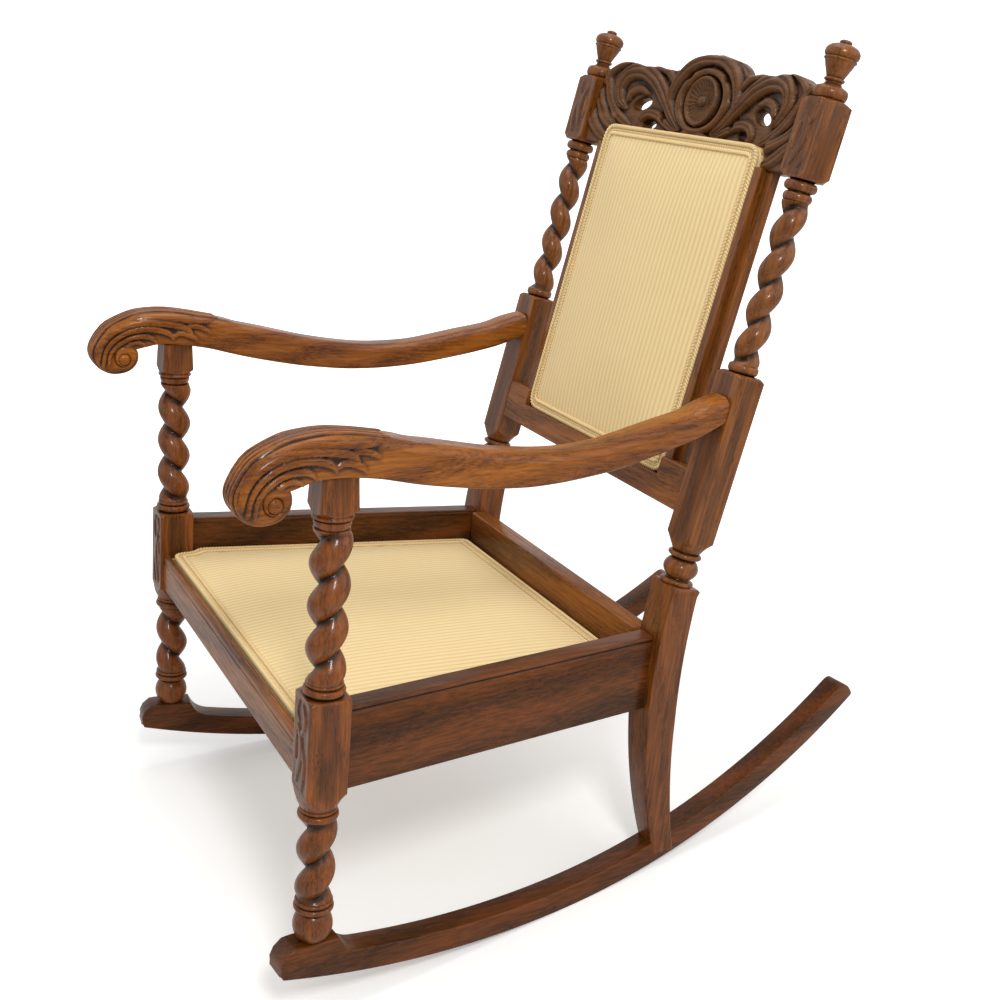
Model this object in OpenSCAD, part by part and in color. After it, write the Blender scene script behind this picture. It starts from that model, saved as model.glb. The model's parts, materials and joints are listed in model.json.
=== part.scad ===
// Twist-turned rocking chair with a drop-in seat and a padded back panel.
// Pieces are drawn in the chair's own frame: X across, Y from the front posts to the back, Z up from the
// lowest point of the runners. stand() then leans the chair back on its runners, as it stands by itself.

/* [Stance] */
// Distance between the axes of the two front posts
front_spread = 624; // [600:2:660]
// Distance between the axes of the two rear posts
rear_spread = 512; // [496:2:530]
// How far behind the front posts the front edge of a rear leg lies at its waist
leg_run = 454; // [440:1:480]
// Backward lean of the whole chair at rest, in degrees
lean = 7.3; // [5:0.1:9]
// Backward rake of the upper rear posts from the front posts, in degrees
rake = 12; // [10:0.5:14]

/* [Runners] */
// Radius of the runner's main arc
runner_r = 1145; // [1100:5:1180]
// Radius of the runner's tail
tail_r = 916; // [880:4:940]
// How far behind the lowest point the tail arc begins
tail_start = 100; // [80:5:120]
// How far behind the front posts the lowest point lies
runner_low = 242; // [236:1:248]
// How far behind the lowest point the tail ends
tail_run = 607; // [580:1:615]
// Depth of a runner
runner_depth = 30.5; // [28:0.5:34]
// Thickness of a runner
runner_w = 34; // [32:1:38]
// Height of the pad that the front foot stands on
pad_z = 71; // [66:1:76]

/* [Front posts] */
// Side of the square seat block
block_w = 48; // [46:1:52]
// Side of the square block under the arm
top_block_w = 42.5; // [40:0.5:45]
// Height of the ball foot
ball_h = 42; // [38:1:46]
// Height of the ring above the ball foot
foot_ring_h = 11; // [9:1:14]
// Length of the lower twist
low_twist_h = 104; // [96:1:112]
// Height of the ring under the seat block
low_ring_h = 14; // [12:1:16]
// Height of the seat block
block_h = 135; // [130:1:142]
// Height of the ring above the seat block
seat_ring_h = 16; // [14:1:18]
// Length of the upper twist
twist_h = 172.5; // [162:0.5:182]
// Height of the collar above the upper twist
collar_h = 16; // [14:1:18]
// Height of the block under the arm
top_block_h = 41.5; // [38:0.5:46]
// Largest radius of the front twists
twist_r = 22.5; // [21:0.5:23.5]

/* [Rear posts] */
// Width of a rear post, across the chair
rear_w = 48; // [46:1:50]
// Depth of a rear post, front to back
rear_d = 39; // [37:1:41]
// Height of the turned ball above the leg
vase_h = 28; // [25:1:31]
// Height of each ring beside that ball
vase_ring_h = 8; // [7:1:10]
// Length of the square part that the arm meets
square_h = 230; // [222:1:238]
// Height of the ring above the square part
arm_ring_h = 12; // [10:1:14]
// Length of the rear twist
rear_twist_h = 200; // [190:1:210]
// Height of the rings under the crest block
crest_ring_h = 26; // [23:1:29]
// Height of the crest block
crest_block_h = 94; // [90:1:98]
// Largest radius of the rear twists
rear_twist_r = 18.5; // [17:0.5:19]
// Height of a finial above its block
finial_h = 67; // [60:1:74]

/* [Arms] */
// Thickness of an arm over the front post
arm_h = 45; // [42:1:48]
// Width of an arm
arm_w = 48; // [44:1:52]
// Radius of the curl under the front of an arm
curl_r = 24; // [22:0.5:26]
// How far ahead of the front post the curl's centre lies
curl_y = 79; // [76:1:84]
// How far under the top of the front post the curl's centre lies
curl_drop = 15; // [12:1:18]

/* [Seat rails] */
// Thickness of the side and back rails
rail_t = 26; // [24:1:28]
// Height of the side and back rails
rail_h = 100; // [96:1:104]
// How far the top of the rails lies under the top of the seat block
rail_drop = 12; // [10:1:16]
// How far the side rail is set in from the front block's outer face
rail_set = 3; // [2:0.5:5]
// How far the side rail is set in from the rear leg's outer face
rail_set_rear = 14; // [12:1:16]
// Thickness of the front rail
front_rail_t = 34; // [30:1:38]
// Height of the front rail
front_rail_h = 50; // [47:1:53]
// Thickness of the lip in front of the seat
lip_t = 10; // [8:0.5:12]
// Height and depth of a cleat
cleat_w = 18; // [16:1:22]

/* [Seat] */
// Thickness of the drop-in seat's frame
seat_frame_t = 22; // [20:1:24]
// Width of the drop-in seat's frame members
seat_frame_w = 55; // [50:1:60]
// Gap between the drop-in seat and the rails round it
seat_gap = 2; // [1.5:0.5:3]
// Thickness of the padding at its edge
seat_edge_t = 5; // [4:0.5:7]
// Rise of the padding above its edge
seat_crown = 9; // [7:1:12]
// Width of the braid round the padding
braid_w = 15; // [12:1:18]
// Thickness of the braid
braid_t = 2.5; // [2:0.5:3]

/* [Back] */
// Height of the lower back rail
low_rail_h = 56; // [52:1:60]
// Thickness of the lower back rail
low_rail_t = 26; // [24:1:28]
// Thickness of a back stile
stile_t = 22; // [20:1:24]
// Width of a back stile
stile_w = 34; // [32:1:36]
// Half of the back panel's width
panel_half = 177; // [172:1:180]
// Thickness of the back panel's frame
panel_t = 10.5; // [10:0.5:12]
// Width of the back panel's frame members
panel_frame_w = 50; // [46:1:54]
// Thickness of the crest rail
crest_t = 24; // [22:1:26]
// How far the middle of the crest rail is bowed backward
crest_bow = 18; // [14:1:22]
// Height of the crest rail at its ends
crest_end_h = 106; // [100:1:110]

/* [Hidden] */

// Finishes
oak = "#6a3f1d";
beech = "#c9a36b";
fabric = "#e4cd98";
jute = "#b49a6a";
steel = "#8d8f92";

// Facets of round things, and of the two large arcs
fn_small = 24;
fn_turned = 48;
fn_arc = 720;
// Points round a twist's section, and its slices in one turn
twist_sides = 20;
twist_slices = 10;
// An overrun that serves every cut
cut = 1;
// A reach longer than any piece, for half spaces
far = 2000;

front_x = front_spread / 2;
rear_x = rear_spread / 2;

// Heights up the front post
foot_ring_z = pad_z + ball_h;
low_twist_z = foot_ring_z + foot_ring_h;
low_ring_z = low_twist_z + low_twist_h;
block_z = low_ring_z + low_ring_h;
seat_ring_z = block_z + block_h;
twist_z = seat_ring_z + seat_ring_h;
collar_z = twist_z + twist_h;
top_block_z = collar_z + collar_h;
arm_z = top_block_z + top_block_h;

// Seat box
rail_top_z = seat_ring_z - rail_drop;
rail_bottom_z = rail_top_z - rail_h;
front_rail_z = rail_bottom_z;
front_rail_top_z = front_rail_z + front_rail_h;
front_rail_set = 5;
lip_y = -block_w / 2 + front_rail_set + lip_t;
front_rail_back_y = -block_w / 2 + front_rail_set + front_rail_t;
rail_front_x = front_x + block_w / 2 - rail_set;
rail_rear_x = rear_x + rear_w / 2 - rail_set_rear;
rail_slope = (rail_front_x - rail_rear_x) / leg_run;
rail_yaw = atan(rail_slope);
leg_overlap = 7;
back_rail_y = leg_run - leg_overlap;
function rail_out(y) = rail_front_x - rail_slope * y;
function rail_in(y) = rail_out(y) - rail_t / cos(rail_yaw);

// The rear leg is the strip between two large arcs that meet its waist at the same height
leg_front_r = 715;
leg_back_r = 950;
leg_waist_z = 290;
leg_waist_d = 43;
leg_foot_w = 34;
leg_taper_z = 250;

// The upper rear post: its frame's origin is the axis at the middle of the turned ball's top ring
rear_post_set = 42;
post_y = leg_run + rear_post_set;
post_z = 475;
ring_gap = 2;
vase_ring_s = -vase_h - 2 * vase_ring_h - ring_gap;
vase_s = vase_ring_s + vase_ring_h;
vase_top_s = vase_s + vase_h;
square_s = vase_top_s + vase_ring_h;
arm_ring_s = square_s + square_h;
rear_twist_s = arm_ring_s + arm_ring_h;
crest_ring_s = rear_twist_s + rear_twist_h;
crest_block_s = crest_ring_s + crest_ring_h;
post_top_s = crest_block_s + crest_block_h;

// Back assembly, in the raked post frame: distances forward of the posts' axes
post_front = rear_d / 2;
low_rail_set = 1;
low_rail_front = post_front - low_rail_set;
low_rail_lift = 43;
low_rail_s = square_s + low_rail_lift;
low_rail_top_s = low_rail_s + low_rail_h;
stile_set = 5.5;
stile_front = low_rail_front - stile_set;
crest_shoulder_drop = -14;
crest_end_s = post_top_s - crest_shoulder_drop - crest_end_h;
crest_set = 10.5;
crest_front_end = post_front - crest_set;
crest_half = rear_x - rear_w / 2;
crest_r = (crest_half * crest_half + crest_bow * crest_bow) / (2 * crest_bow);
stile_rebate = 17;
rebate_back = stile_front - stile_rebate;
panel_lap = 8;
panel_s = low_rail_top_s - panel_lap * 3;
panel_top_s = crest_end_s + panel_lap * 3.6;
panel_front = rebate_back + panel_t;
stile_out = panel_half + stile_w - panel_lap;

// Seat plan
seat_recess = 4;
seat_z = front_rail_top_z - seat_frame_t - seat_recess;
seat_top_z = seat_z + seat_frame_t;
seat_front_y = lip_y + seat_gap / 2;
seat_back_y = back_rail_y - seat_gap;
notch_x = front_x - block_w / 2 - seat_gap;
notch_y = block_w / 2 + seat_gap;
function seat_half(y, inset = 0) = rail_in(y) - seat_gap - inset / cos(rail_yaw);
web_rebate = 3;
web_bearing = 28;
web_t = web_rebate / 2;
web_w = 45;

// Hardware
dowel_r = 5;
dowel_l = 44;
arm_pin_r = 11;
arm_pin_l = 24;
foot_pin_r = 10;
foot_pin_l = 26;
finial_pin_r = 7;
finial_pin_l = 22;
tenon_w = 18;
tenon_l = 16;
screw_r = 2.2;
screw_head_r = 4.2;
screw_head_h = 2.6;
screw_l = 30;
screw_gap = 0.1;

// Turning profiles and curves

// A half-round bead as [radius, height] points from z0 to z1
function bead(z0, z1, r0, r1, n = 6) =
    [for (i = [0:n]) [r0 + (r1 - r0) * sin(180 * i / n), z0 + (z1 - z0) * i / n]];

// A point on the smooth curve that passes through p1 and p2
function through(p0, p1, p2, p3, t) =
    0.5 * (2 * p1 + (p2 - p0) * t + (2 * p0 - 5 * p1 + 4 * p2 - p3) * t * t
    + (3 * p1 - p0 - 3 * p2 + p3) * t * t * t);

// A smooth curve through a list of points, with n steps between two of them
function smooth(p, n) = [
    for (i = [0:len(p) - 2])
        for (k = [0:n - 1])
            through(p[max(i - 1, 0)], p[i], p[i + 1], p[min(i + 2, len(p) - 1)], k / n),
    p[len(p) - 1]
];

// The height at which a smooth outline, sorted by its first value, crosses x
function height_at(c, x, i = 0) =
    i >= len(c) - 2 || c[i + 1][0] >= x
        ? c[i][1] + (c[i + 1][1] - c[i][1]) * (x - c[i][0]) / (c[i + 1][0] - c[i][0])
        : height_at(c, x, i + 1);

module turned(points) {
    rotate_extrude($fn = fn_turned) polygon(points);
}

// A closed shell from rings of points, each ring with as many points, capped at both ends
module loft(rings) {
    n = len(rings[0]);
    m = len(rings);
    points = [for (ring = rings) for (p = ring) p];
    sides = [
        for (j = [0:m - 2]) for (i = [0:n - 1]) for (f = [
            [j * n + i, (j + 1) * n + (i + 1) % n, (j + 1) * n + i],
            [j * n + i, j * n + (i + 1) % n, (j + 1) * n + (i + 1) % n]
        ]) f
    ];
    first = [for (i = [1:n - 2]) [0, i + 1, i]];
    last = [for (i = [1:n - 2]) [(m - 1) * n, (m - 1) * n + i, (m - 1) * n + i + 1]];
    polyhedron(points = points, faces = concat(sides, first, last));
}

// A single twist: a round rod with one groove that winds up it, its crest at the angle phase
module twist(r, h, turns, phase) {
    groove_share = 0.49;
    core = r * groove_share;
    section = [
        for (i = [0:twist_sides - 1])
            let (a = 360 * i / twist_sides, d = core + (r - core) * abs(cos(a / 2)))
            [d * cos(a), d * sin(a)]
    ];
    rotate([0, 0, phase])
        linear_extrude(height = h, twist = -360 * turns, slices = ceil(turns * twist_slices))
            polygon(section);
}

// A square or oblong block whose corners are turned away at its ends
module shouldered(w, d, z0, z1, low, high, r_low, r_high) {
    corner = sqrt(w * w + d * d) / 2 + cut;
    intersection() {
        translate([-w / 2, -d / 2, z0]) cube([w, d, z1 - z0]);
        turned([[0, z0], [r_low, z0], [corner, z0 + low], [corner, z1 - high], [r_high, z1], [0, z1]]);
    }
}

// A screw with a round head on the plane z = 0, its shank going down
module screw(length = screw_l) {
    translate([0, 0, -length]) cylinder(r = screw_r, h = length + screw_head_h / 2, $fn = fn_small);
    cylinder(r1 = screw_head_r, r2 = screw_head_r * 0.7, h = screw_head_h, $fn = fn_small);
}

module screw_hole(length = screw_l) {
    translate([0, 0, -length - screw_gap])
        cylinder(r = screw_r + screw_gap, h = length + screw_gap + cut, $fn = fn_small);
}

// Frames

runner_yaw = atan((front_x - rear_x) / (leg_run + leg_waist_d));
tail_start_a = asin(tail_start / runner_r);
tail_centre = [runner_low + (runner_r - tail_r) * sin(tail_start_a), runner_r - (runner_r - tail_r) * cos(tail_start_a)];
tail_end_a = asin((runner_low + tail_run - tail_centre[0]) / tail_r);
tail_tip = [tail_centre[0] + tail_r * sin(tail_end_a), tail_centre[1] - tail_r * cos(tail_end_a)];

// The leaned chair touches the floor on the tail's arc. These follow from the arc, its toe-in and the lean
floor_y = sin(lean) * cos(runner_yaw);
floor_skew = sin(lean) * sin(runner_yaw) * runner_w / 2;
stand_drop = tail_centre[0] * floor_y - tail_centre[1] * cos(lean)
    + tail_r * sqrt(pow(floor_y, 2) + pow(cos(lean), 2)) + floor_skew;
// How far the foremost curl and the runner's tail reach in front of and behind the front posts' feet
curl_front_r = curl_r * 1.62;
curl_reach = curl_y * cos(lean) - (arm_z - curl_drop) * sin(lean) + curl_front_r;
tail_reach = (tail_tip[0] * cos(runner_yaw) + runner_w / 2 * sin(runner_yaw)) * cos(lean) + tail_tip[1] * sin(lean);

// Leans the chair back on its runners, with the origin on the floor under the middle of its outline
module stand() {
    translate([0, (curl_reach - tail_reach) / 2, stand_drop]) rotate([-lean, 0, 0]) children();
}

// The raked frame of the upper rear posts: Z up the posts, -Y forward, X = 0 in the middle
module raked() {
    translate([0, post_y, post_z]) rotate([-rake, 0, 0]) children();
}

// Turns a flat drawing in Y and Z into a board of thickness t, centred on X = 0
module board(t) {
    rotate([90, 0, 90]) translate([0, 0, -t / 2]) linear_extrude(t) children();
}

// Puts a piece on the sitter's left, where it is drawn, or mirrors it to the right
module hand(side) {
    if (side == "left") {
        children();
    } else {
        mirror([1, 0, 0]) children();
    }
}

// Runners

toe_y = -46;
pad_front = 16;
pad_back = 28;
pad_fillet = 34;
tail_nose = 15;
nose_a = tail_nose / tail_r * 180 / PI;
main_centre = [runner_low, runner_r];
function arc_top(centre, r, y) = centre[1] - sqrt(pow(r - runner_depth, 2) - pow(centre[0] - y, 2));
function runner_top(y) =
    y < runner_low + tail_start ? arc_top(main_centre, runner_r, y) : arc_top(tail_centre, tail_r, y);
function arc_point(centre, r, a) = [centre[0] + r * sin(a), centre[1] - r * cos(a)];
function arc_points(centre, r, a0, a1, n) = [for (i = [0:n]) arc_point(centre, r, a0 + (a1 - a0) * i / n)];
function arc_angle(r, y) = asin((y - runner_low) / r);

// The board's outline: lower arcs from toe to tail, upper arcs back, the fillet to the pad, and the toe
module runner_side() {
    inner_main = runner_r - runner_depth;
    fillet_end = pad_back + pad_fillet;
    drop = pad_z - runner_top(0);
    fillet = [
        for (t = [0.9:-0.1:0])
            pow(1 - t, 2) * [pad_back, pad_z]
            + 2 * t * (1 - t) * [pad_back + pad_fillet / 5, runner_top(pad_back + pad_fillet / 2)]
            + t * t * [fillet_end, runner_top(fillet_end)]
    ];
    polygon(concat(
        arc_points(main_centre, runner_r, arc_angle(runner_r, toe_y + pad_front / 2), tail_start_a - 0.25, 48),
        arc_points(tail_centre, tail_r, tail_start_a, tail_end_a, 72),
        [for (k = [0:6]) arc_point(
            tail_centre, tail_r - runner_depth + tail_nose * (1 - sin(15 * k)),
            tail_end_a - nose_a * (1 - cos(15 * k))
        )],
        arc_points(tail_centre, tail_r - runner_depth, tail_end_a - nose_a, tail_start_a, 72),
        arc_points(main_centre, inner_main, tail_start_a - 0.25, arc_angle(inner_main, fillet_end), 36),
        fillet,
        [
            [toe_y + pad_front, pad_z], [toe_y + pad_front * 0.4, pad_z - drop * 0.35], [toe_y, pad_z - drop],
            [toe_y + pad_front / 8, pad_z - drop * 1.4]
        ]
    ));
}

module on_runner() {
    translate([front_x, 0, 0]) rotate([0, 0, runner_yaw]) children();
}

module runner_screw_place() {
    foot_a = asin((leg_foot_y / cos(runner_yaw) - tail_centre[0]) / tail_r);
    on_runner() translate([0, tail_centre[0], tail_centre[1]]) rotate([foot_a, 0, 0])
        translate([0, 0, -tail_r + screw_head_h]) rotate([180, 0, 0]) children();
}

module rocker() {
    color(oak) difference() {
        on_runner() board(runner_w) runner_side();
        translate([front_x, 0, pad_z - foot_pin_l]) cylinder(r = foot_pin_r, h = foot_pin_l + cut, $fn = fn_turned);
        leg_tenon();
        runner_screw_place() {
            screw_hole(screw_l);
            cylinder(r = screw_head_r + screw_gap, h = far / 100, $fn = fn_small);
        }
    }
}

// Front posts

function foot_profile() = concat(
    [[0, pad_z]],
    [for (i = [0:8]) [
        foot_ball_r * sqrt(1 - pow(0.8 * (i / 4 - 1), 2)), pad_z + ball_h * 0.9 * i / 8
    ]],
    bead(pad_z + ball_h * 0.94, foot_ring_z + foot_ring_h * 0.5, foot_neck_r + foot_step, foot_ball_r, 6),
    bead(foot_ring_z + foot_ring_h * 0.56, low_twist_z, foot_neck_r + foot_step, foot_ball_r - foot_step / 2, 5),
    [[0, low_twist_z]]
);
foot_ball_r = 23;
foot_neck_r = 17;
foot_step = 3;
ring_r = 23.5;
ring_neck_r = 18;
collar_r = 19.8;
collar_plate_r = 22.5;
collar_neck_r = 15.5;

// Two beads one above the other, the lower of radius r and the upper of radius r_top
function ring_profile(z0, z1, r_neck, r, r_top) = concat(
    [[0, z0]],
    bead(z0, z0 + (z1 - z0) * 0.62, r_neck, r, 6),
    bead(z0 + (z1 - z0) * 0.66, z1, r_neck, r_top, 5),
    [[0, z1]]
);

module front_post_turnery() {
    overlap = ring_gap;
    turned(foot_profile());
    translate([0, 0, low_twist_z - overlap]) twist(twist_r, low_twist_h + 2 * overlap, 2.1, 148);
    turned(ring_profile(low_ring_z, block_z, ring_neck_r, ring_r, ring_r * 0.9));
    turned(ring_profile(seat_ring_z, twist_z, ring_neck_r, ring_r, ring_r * 0.9));
    translate([0, 0, twist_z - overlap]) twist(twist_r, twist_h + 2 * overlap, 3.6, -30);
    turned(ring_profile(collar_z, top_block_z, collar_neck_r, collar_r, collar_plate_r));
}

module front_post_blocks() {
    tongue = block_h * 0.165;
    shouldered(block_w, block_w, block_z, seat_ring_z, tongue, tongue / 4, ring_neck_r + foot_step, block_w * 0.56);
    shouldered(top_block_w, top_block_w, top_block_z, arm_z, top_block_h / 4, 0, collar_neck_r + foot_step, block_w);
}

module front_post() {
    color(oak) difference() {
        translate([front_x, 0, 0]) {
            front_post_turnery();
            front_post_blocks();
            translate([0, 0, pad_z - foot_pin_l]) cylinder(r = foot_pin_r, h = foot_pin_l + cut, $fn = fn_turned);
            translate([0, 0, arm_z - cut]) cylinder(r = arm_pin_r, h = arm_pin_l + cut, $fn = fn_turned);
        }
        side_rail_dowels(true);
        front_rail_dowels();
    }
}

// Rear posts

leg_kick = 8;
leg_foot_y = leg_run + leg_waist_d + leg_kick;

module leg_side() {
    difference() {
        translate([leg_run + leg_front_r, leg_waist_z]) circle(r = leg_front_r, $fn = fn_arc);
        translate([leg_run + leg_waist_d + leg_back_r, leg_waist_z]) circle(r = leg_back_r, $fn = fn_arc);
        translate([leg_run + far / 4, 0]) square([far, far]);
    }
}

// The leg's outline seen from the front, between its foot and its taper
module leg_front() {
    polygon([
        [rear_x - leg_foot_w / 2, 0], [rear_x + leg_foot_w / 2, 0], [rear_x + rear_w / 2, leg_taper_z],
        [rear_x + rear_w / 2, far / 3], [rear_x - rear_w / 2, far / 3], [rear_x - rear_w / 2, leg_taper_z]
    ]);
}

module leg_tenon() {
    translate([rear_x - tenon_w / 2, leg_foot_y - tenon_w / 2, runner_top(leg_foot_y) - tenon_l])
        cube([tenon_w, tenon_w, tenon_l + leg_taper_z / 10]);
}

module rear_leg() {
    difference() {
        intersection() {
            translate([rear_x, 0, 0]) board(rear_w) leg_side();
            translate([0, far / 2, 0]) rotate([90, 0, 0]) linear_extrude(far) leg_front();
        }
        raked() translate([0, -far / 2, vase_ring_s]) cube([far, far, far]);
        under_runner();
    }
}

// Everything below the top face of the runner, where the leg is cut to sit on it
module under_runner() {
    on_runner() board(far / 4) intersection() {
        translate(tail_centre) difference() {
            circle(r = tail_r + far / 10, $fn = fn_arc);
            circle(r = tail_r - runner_depth, $fn = fn_arc);
        }
        square([far, far / 4]);
    }
}

module rear_turnery() {
    full = rear_d / 2;
    vase_r = full * 1.14;
    overlap = ring_gap;
    neck = full * 0.8;
    turned(concat(
        [[0, vase_ring_s - vase_ring_h], [neck * 0.9, vase_ring_s - vase_ring_h], [neck * 0.9, vase_ring_s]],
        bead(vase_ring_s, vase_s, neck, vase_r * 0.97, 6),
        [for (i = [0:8]) [neck * 0.97 + (vase_r - neck) * sin(10 + 160 * i / 8), vase_s + vase_h * i / 8]],
        bead(vase_top_s, square_s, neck * 0.9, vase_r * 0.97, 6),
        [[0, square_s]]
    ));
    turned(ring_profile(arm_ring_s, rear_twist_s, neck * 0.9, full * 0.97, full * 0.9));
    translate([0, 0, rear_twist_s - overlap]) twist(rear_twist_r, rear_twist_h + 2 * overlap, 4.3, 70);
    turned(concat(
        [[0, crest_ring_s]],
        bead(crest_ring_s, crest_ring_s + crest_ring_h * 0.42, neck * 0.85, full * 0.93, 6),
        bead(crest_ring_s + crest_ring_h * 0.5, crest_block_s, neck * 0.85, full, 6),
        [[0, crest_block_s]]
    ));
}

module rear_post_blocks() {
    corner = sqrt(rear_w * rear_w + rear_d * rear_d) / 2;
    tongue = square_h * 0.08;
    shouldered(rear_w, rear_d, square_s, arm_ring_s, tongue, tongue / 4, rear_d * 0.46, corner * 0.75);
    shouldered(rear_w, rear_d, crest_block_s, post_top_s, tongue / 3, tongue / 4, corner * 0.75, corner * 0.75);
}

module rear_post() {
    color(oak) difference() {
        union() {
            rear_leg();
            leg_tenon();
            raked() translate([rear_x, 0, 0]) {
                rear_turnery();
                rear_post_blocks();
            }
        }
        raked() translate([rear_x, 0, post_top_s - finial_pin_l])
            cylinder(r = finial_pin_r, h = finial_pin_l + cut, $fn = fn_turned);
        side_rail_dowels(false);
        back_rail_dowels();
        back_cross_dowels();
        arm_dowel();
        runner_screw_place() screw_hole(screw_l);
    }
}

module finial() {
    r = rear_d / 2;
    z = post_top_s;
    color(oak) raked() translate([rear_x, 0, 0]) turned(concat(
        [[0, z - finial_pin_l], [finial_pin_r, z - finial_pin_l], [finial_pin_r, z]],
        bead(z, z + finial_h * 0.2, r * 0.8, r, 6),
        [[r * 0.42, z + finial_h * 0.3], [r * 0.44, z + finial_h * 0.35]],
        bead(z + finial_h * 0.35, z + finial_h * 0.41, r * 0.46, r * 0.58, 4),
        [for (i = [0:6]) [r * (0.5 + 0.38 * sin(90 * i / 6)), z + finial_h * (0.42 + 0.23 * i / 6)]],
        [[r * 0.84, z + finial_h * 0.66]],
        [for (i = [1:7]) [r * 0.96 * cos(pow(i / 7, 2) * 62), z + finial_h * (0.68 + 0.22 * i / 7)]],
        [for (i = [0:6]) [r * 0.32 * cos(90 * i / 6), z + finial_h * (0.92 + 0.08 * sin(90 * i / 6))]]
    ));
}

// Arms

// The arm's side outline. Along Y the shares are of its run behind the front post, or of the curl's distance ahead
// of it where they are negative, and upward they are of its thickness above the front post's top
arm_top_shares = [
    [-0.781, 0.91], [-0.195, 1.025], [0.075, 0.88], [0.215, 0.555], [0.36, 0.24], [0.55, 0.045], [0.695, 0.2],
    [0.805, 0.49], [0.9, 0.74], [1, 1.1]
];
arm_under_shares = [
    [-0.781, -0.16], [-0.325, 0], [0.04, 0], [0.107, -0.155], [0.25, -0.49], [0.34, -0.63], [0.48, -0.73],
    [0.68, -0.555], [0.86, -0.12], [1, 0.37]
];
// The curl's outline, as an angle from the rear and a share of the curl's radius
curl_shares = [
    [56, 2.55], [74, 2.38], [90, 2.05], [111, 1.73], [140, 1.46], [180, 1.42], [225, 1.18], [270, 0.98], [315, 0.96],
    [360, 1.02], [384, 1.02]
];
arm_steps = 4;
// The arm ends on the front face of the raked post
arm_run = post_y + (arm_z + arm_h * 0.7 - post_z) * tan(rake) - post_front / cos(rake);
arm_yaw = atan((front_x - rear_x) / arm_run);
arm_thinning = 4;
arm_end_w = arm_w - arm_thinning;
function arm_y(share) = share < 0 ? share * curl_y : share * arm_run;
arm_top = smooth([for (p = arm_top_shares) [arm_y(p[0]), arm_z + p[1] * arm_h]], arm_steps);
arm_under = smooth([for (p = arm_under_shares) [arm_y(p[0]), arm_z + p[1] * arm_h]], arm_steps);
arm_stations = 34;

// A section across the arm with rounded corners, from height z0 to z1
function arm_section(y, z0, z1, w) =
    let (r = min(w, z1 - z0) * 0.3)
    [
        for (c = [[w / 2 - r, z1 - r, 0], [-w / 2 + r, z1 - r, 90], [-w / 2 + r, z0 + r, 180], [w / 2 - r, z0 + r, 270]])
            for (a = [0, 45, 90]) [c[0] + r * cos(c[2] + a), y, c[1] + r * sin(c[2] + a)]
    ];

module arm_bar() {
    reach = 30;
    start = -curl_y * 0.65;
    loft([
        for (i = [0:arm_stations]) let (
            t = i / arm_stations,
            y = start + (arm_run + reach - start) * t,
            yc = min(y, arm_run),
            rise = (y - yc) * 0.36
        ) arm_section(y, height_at(arm_under, yc) + rise, height_at(arm_top, yc) + rise, arm_w + (arm_end_w - arm_w) * t)
    ]);
}

module curl_slice(inset) {
    outline = smooth(curl_shares, 3);
    polygon(concat([for (p = outline) (curl_r * p[1] - inset) * [cos(p[0]), sin(p[0])]]));
}

module arm_curl() {
    centre = [-curl_y, arm_z - curl_drop];
    for (layer_share = [[0.72, 0], [0.9, 0.1], [1, 0.25]])
        board(arm_w * layer_share[0]) translate(centre) curl_slice(curl_r * layer_share[1]);
    translate([-arm_w / 2 - cut, centre[0], centre[1]])
        rotate([0, 90, 0]) cylinder(r = curl_r * 0.4, h = arm_w + 2 * cut, $fn = fn_small);
}

module on_arm() {
    translate([front_x, 0, 0]) rotate([0, 0, arm_yaw]) children();
}

module arm() {
    color(oak) difference() {
        on_arm() {
            arm_bar();
            arm_curl();
        }
        translate([front_x, 0, arm_z]) cylinder(r = arm_pin_r, h = arm_pin_l, $fn = fn_turned);
        translate([front_x - top_block_w / 2, -top_block_w / 2, arm_z - top_block_h])
            cube([top_block_w, top_block_w, top_block_h]);
        raked() translate([0, -post_front, -far / 4]) cube([far, far, far]);
        arm_dowel();
    }
}

// The dowel that holds the rear end of an arm to its post
module arm_dowel() {
    raked() translate([rear_x, -post_front + dowel_l / 2, (arm_z + arm_h * 0.7 - post_z) / cos(rake)])
        rotate([90, 0, 0]) cylinder(r = dowel_r, h = dowel_l, $fn = fn_small);
}

// Seat rails

module side_rail_block() {
    translate([rail_front_x, 0, rail_bottom_z]) rotate([0, 0, rail_yaw])
        translate([-rail_t, -block_w, 0]) cube([rail_t, leg_run + 2 * block_w, rail_h]);
}

// A side rail, cut to the front block and to the leg
module side_rail() {
    color(oak) difference() {
        side_rail_block();
        translate([0, block_w / 2 - far, 0]) cube([far, far, far]);
        rear_leg();
        translate([0, leg_run + rear_d / 2, 0]) cube([far, far, far]);
        side_rail_dowels(true);
        side_rail_dowels(false);
        cleat_screw_places() screw_hole(screw_l);
        block_screw_holes();
    }
}

module front_rail() {
    half = front_x - block_w / 2;
    y0 = lip_y - lip_t;
    nose = lip_t / 2;
    color(oak) difference() {
        union() {
            translate([-half, y0, front_rail_z]) cube([2 * half, front_rail_t, seat_z - front_rail_z]);
            translate([-half, y0, front_rail_z]) cube([2 * half, lip_t, front_rail_h - nose]);
            translate([-half, y0 + nose, front_rail_top_z - nose])
                rotate([0, 90, 0]) cylinder(r = nose, h = 2 * half, $fn = fn_turned);
        }
        for (side = ["left", "right"]) hand(side) {
            front_rail_dowels();
            block_screw_holes();
        }
    }
}

module back_rail() {
    half = rear_x - rear_w / 2;
    front_half = rail_in(leg_run);
    color(oak) difference() {
        union() {
            translate([-half, back_rail_y, rail_bottom_z]) cube([2 * half, rail_t, rail_h]);
            translate([-front_half, back_rail_y, rail_bottom_z]) cube([2 * front_half, leg_overlap - seat_gap / 20, rail_h]);
        }
        for (side = ["left", "right"]) hand(side) {
            back_rail_dowels();
            block_screw_holes();
        }
        back_cleat_screws() screw_hole(screw_l);
    }
}

// Cleats and blocks under the drop-in seat

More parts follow.
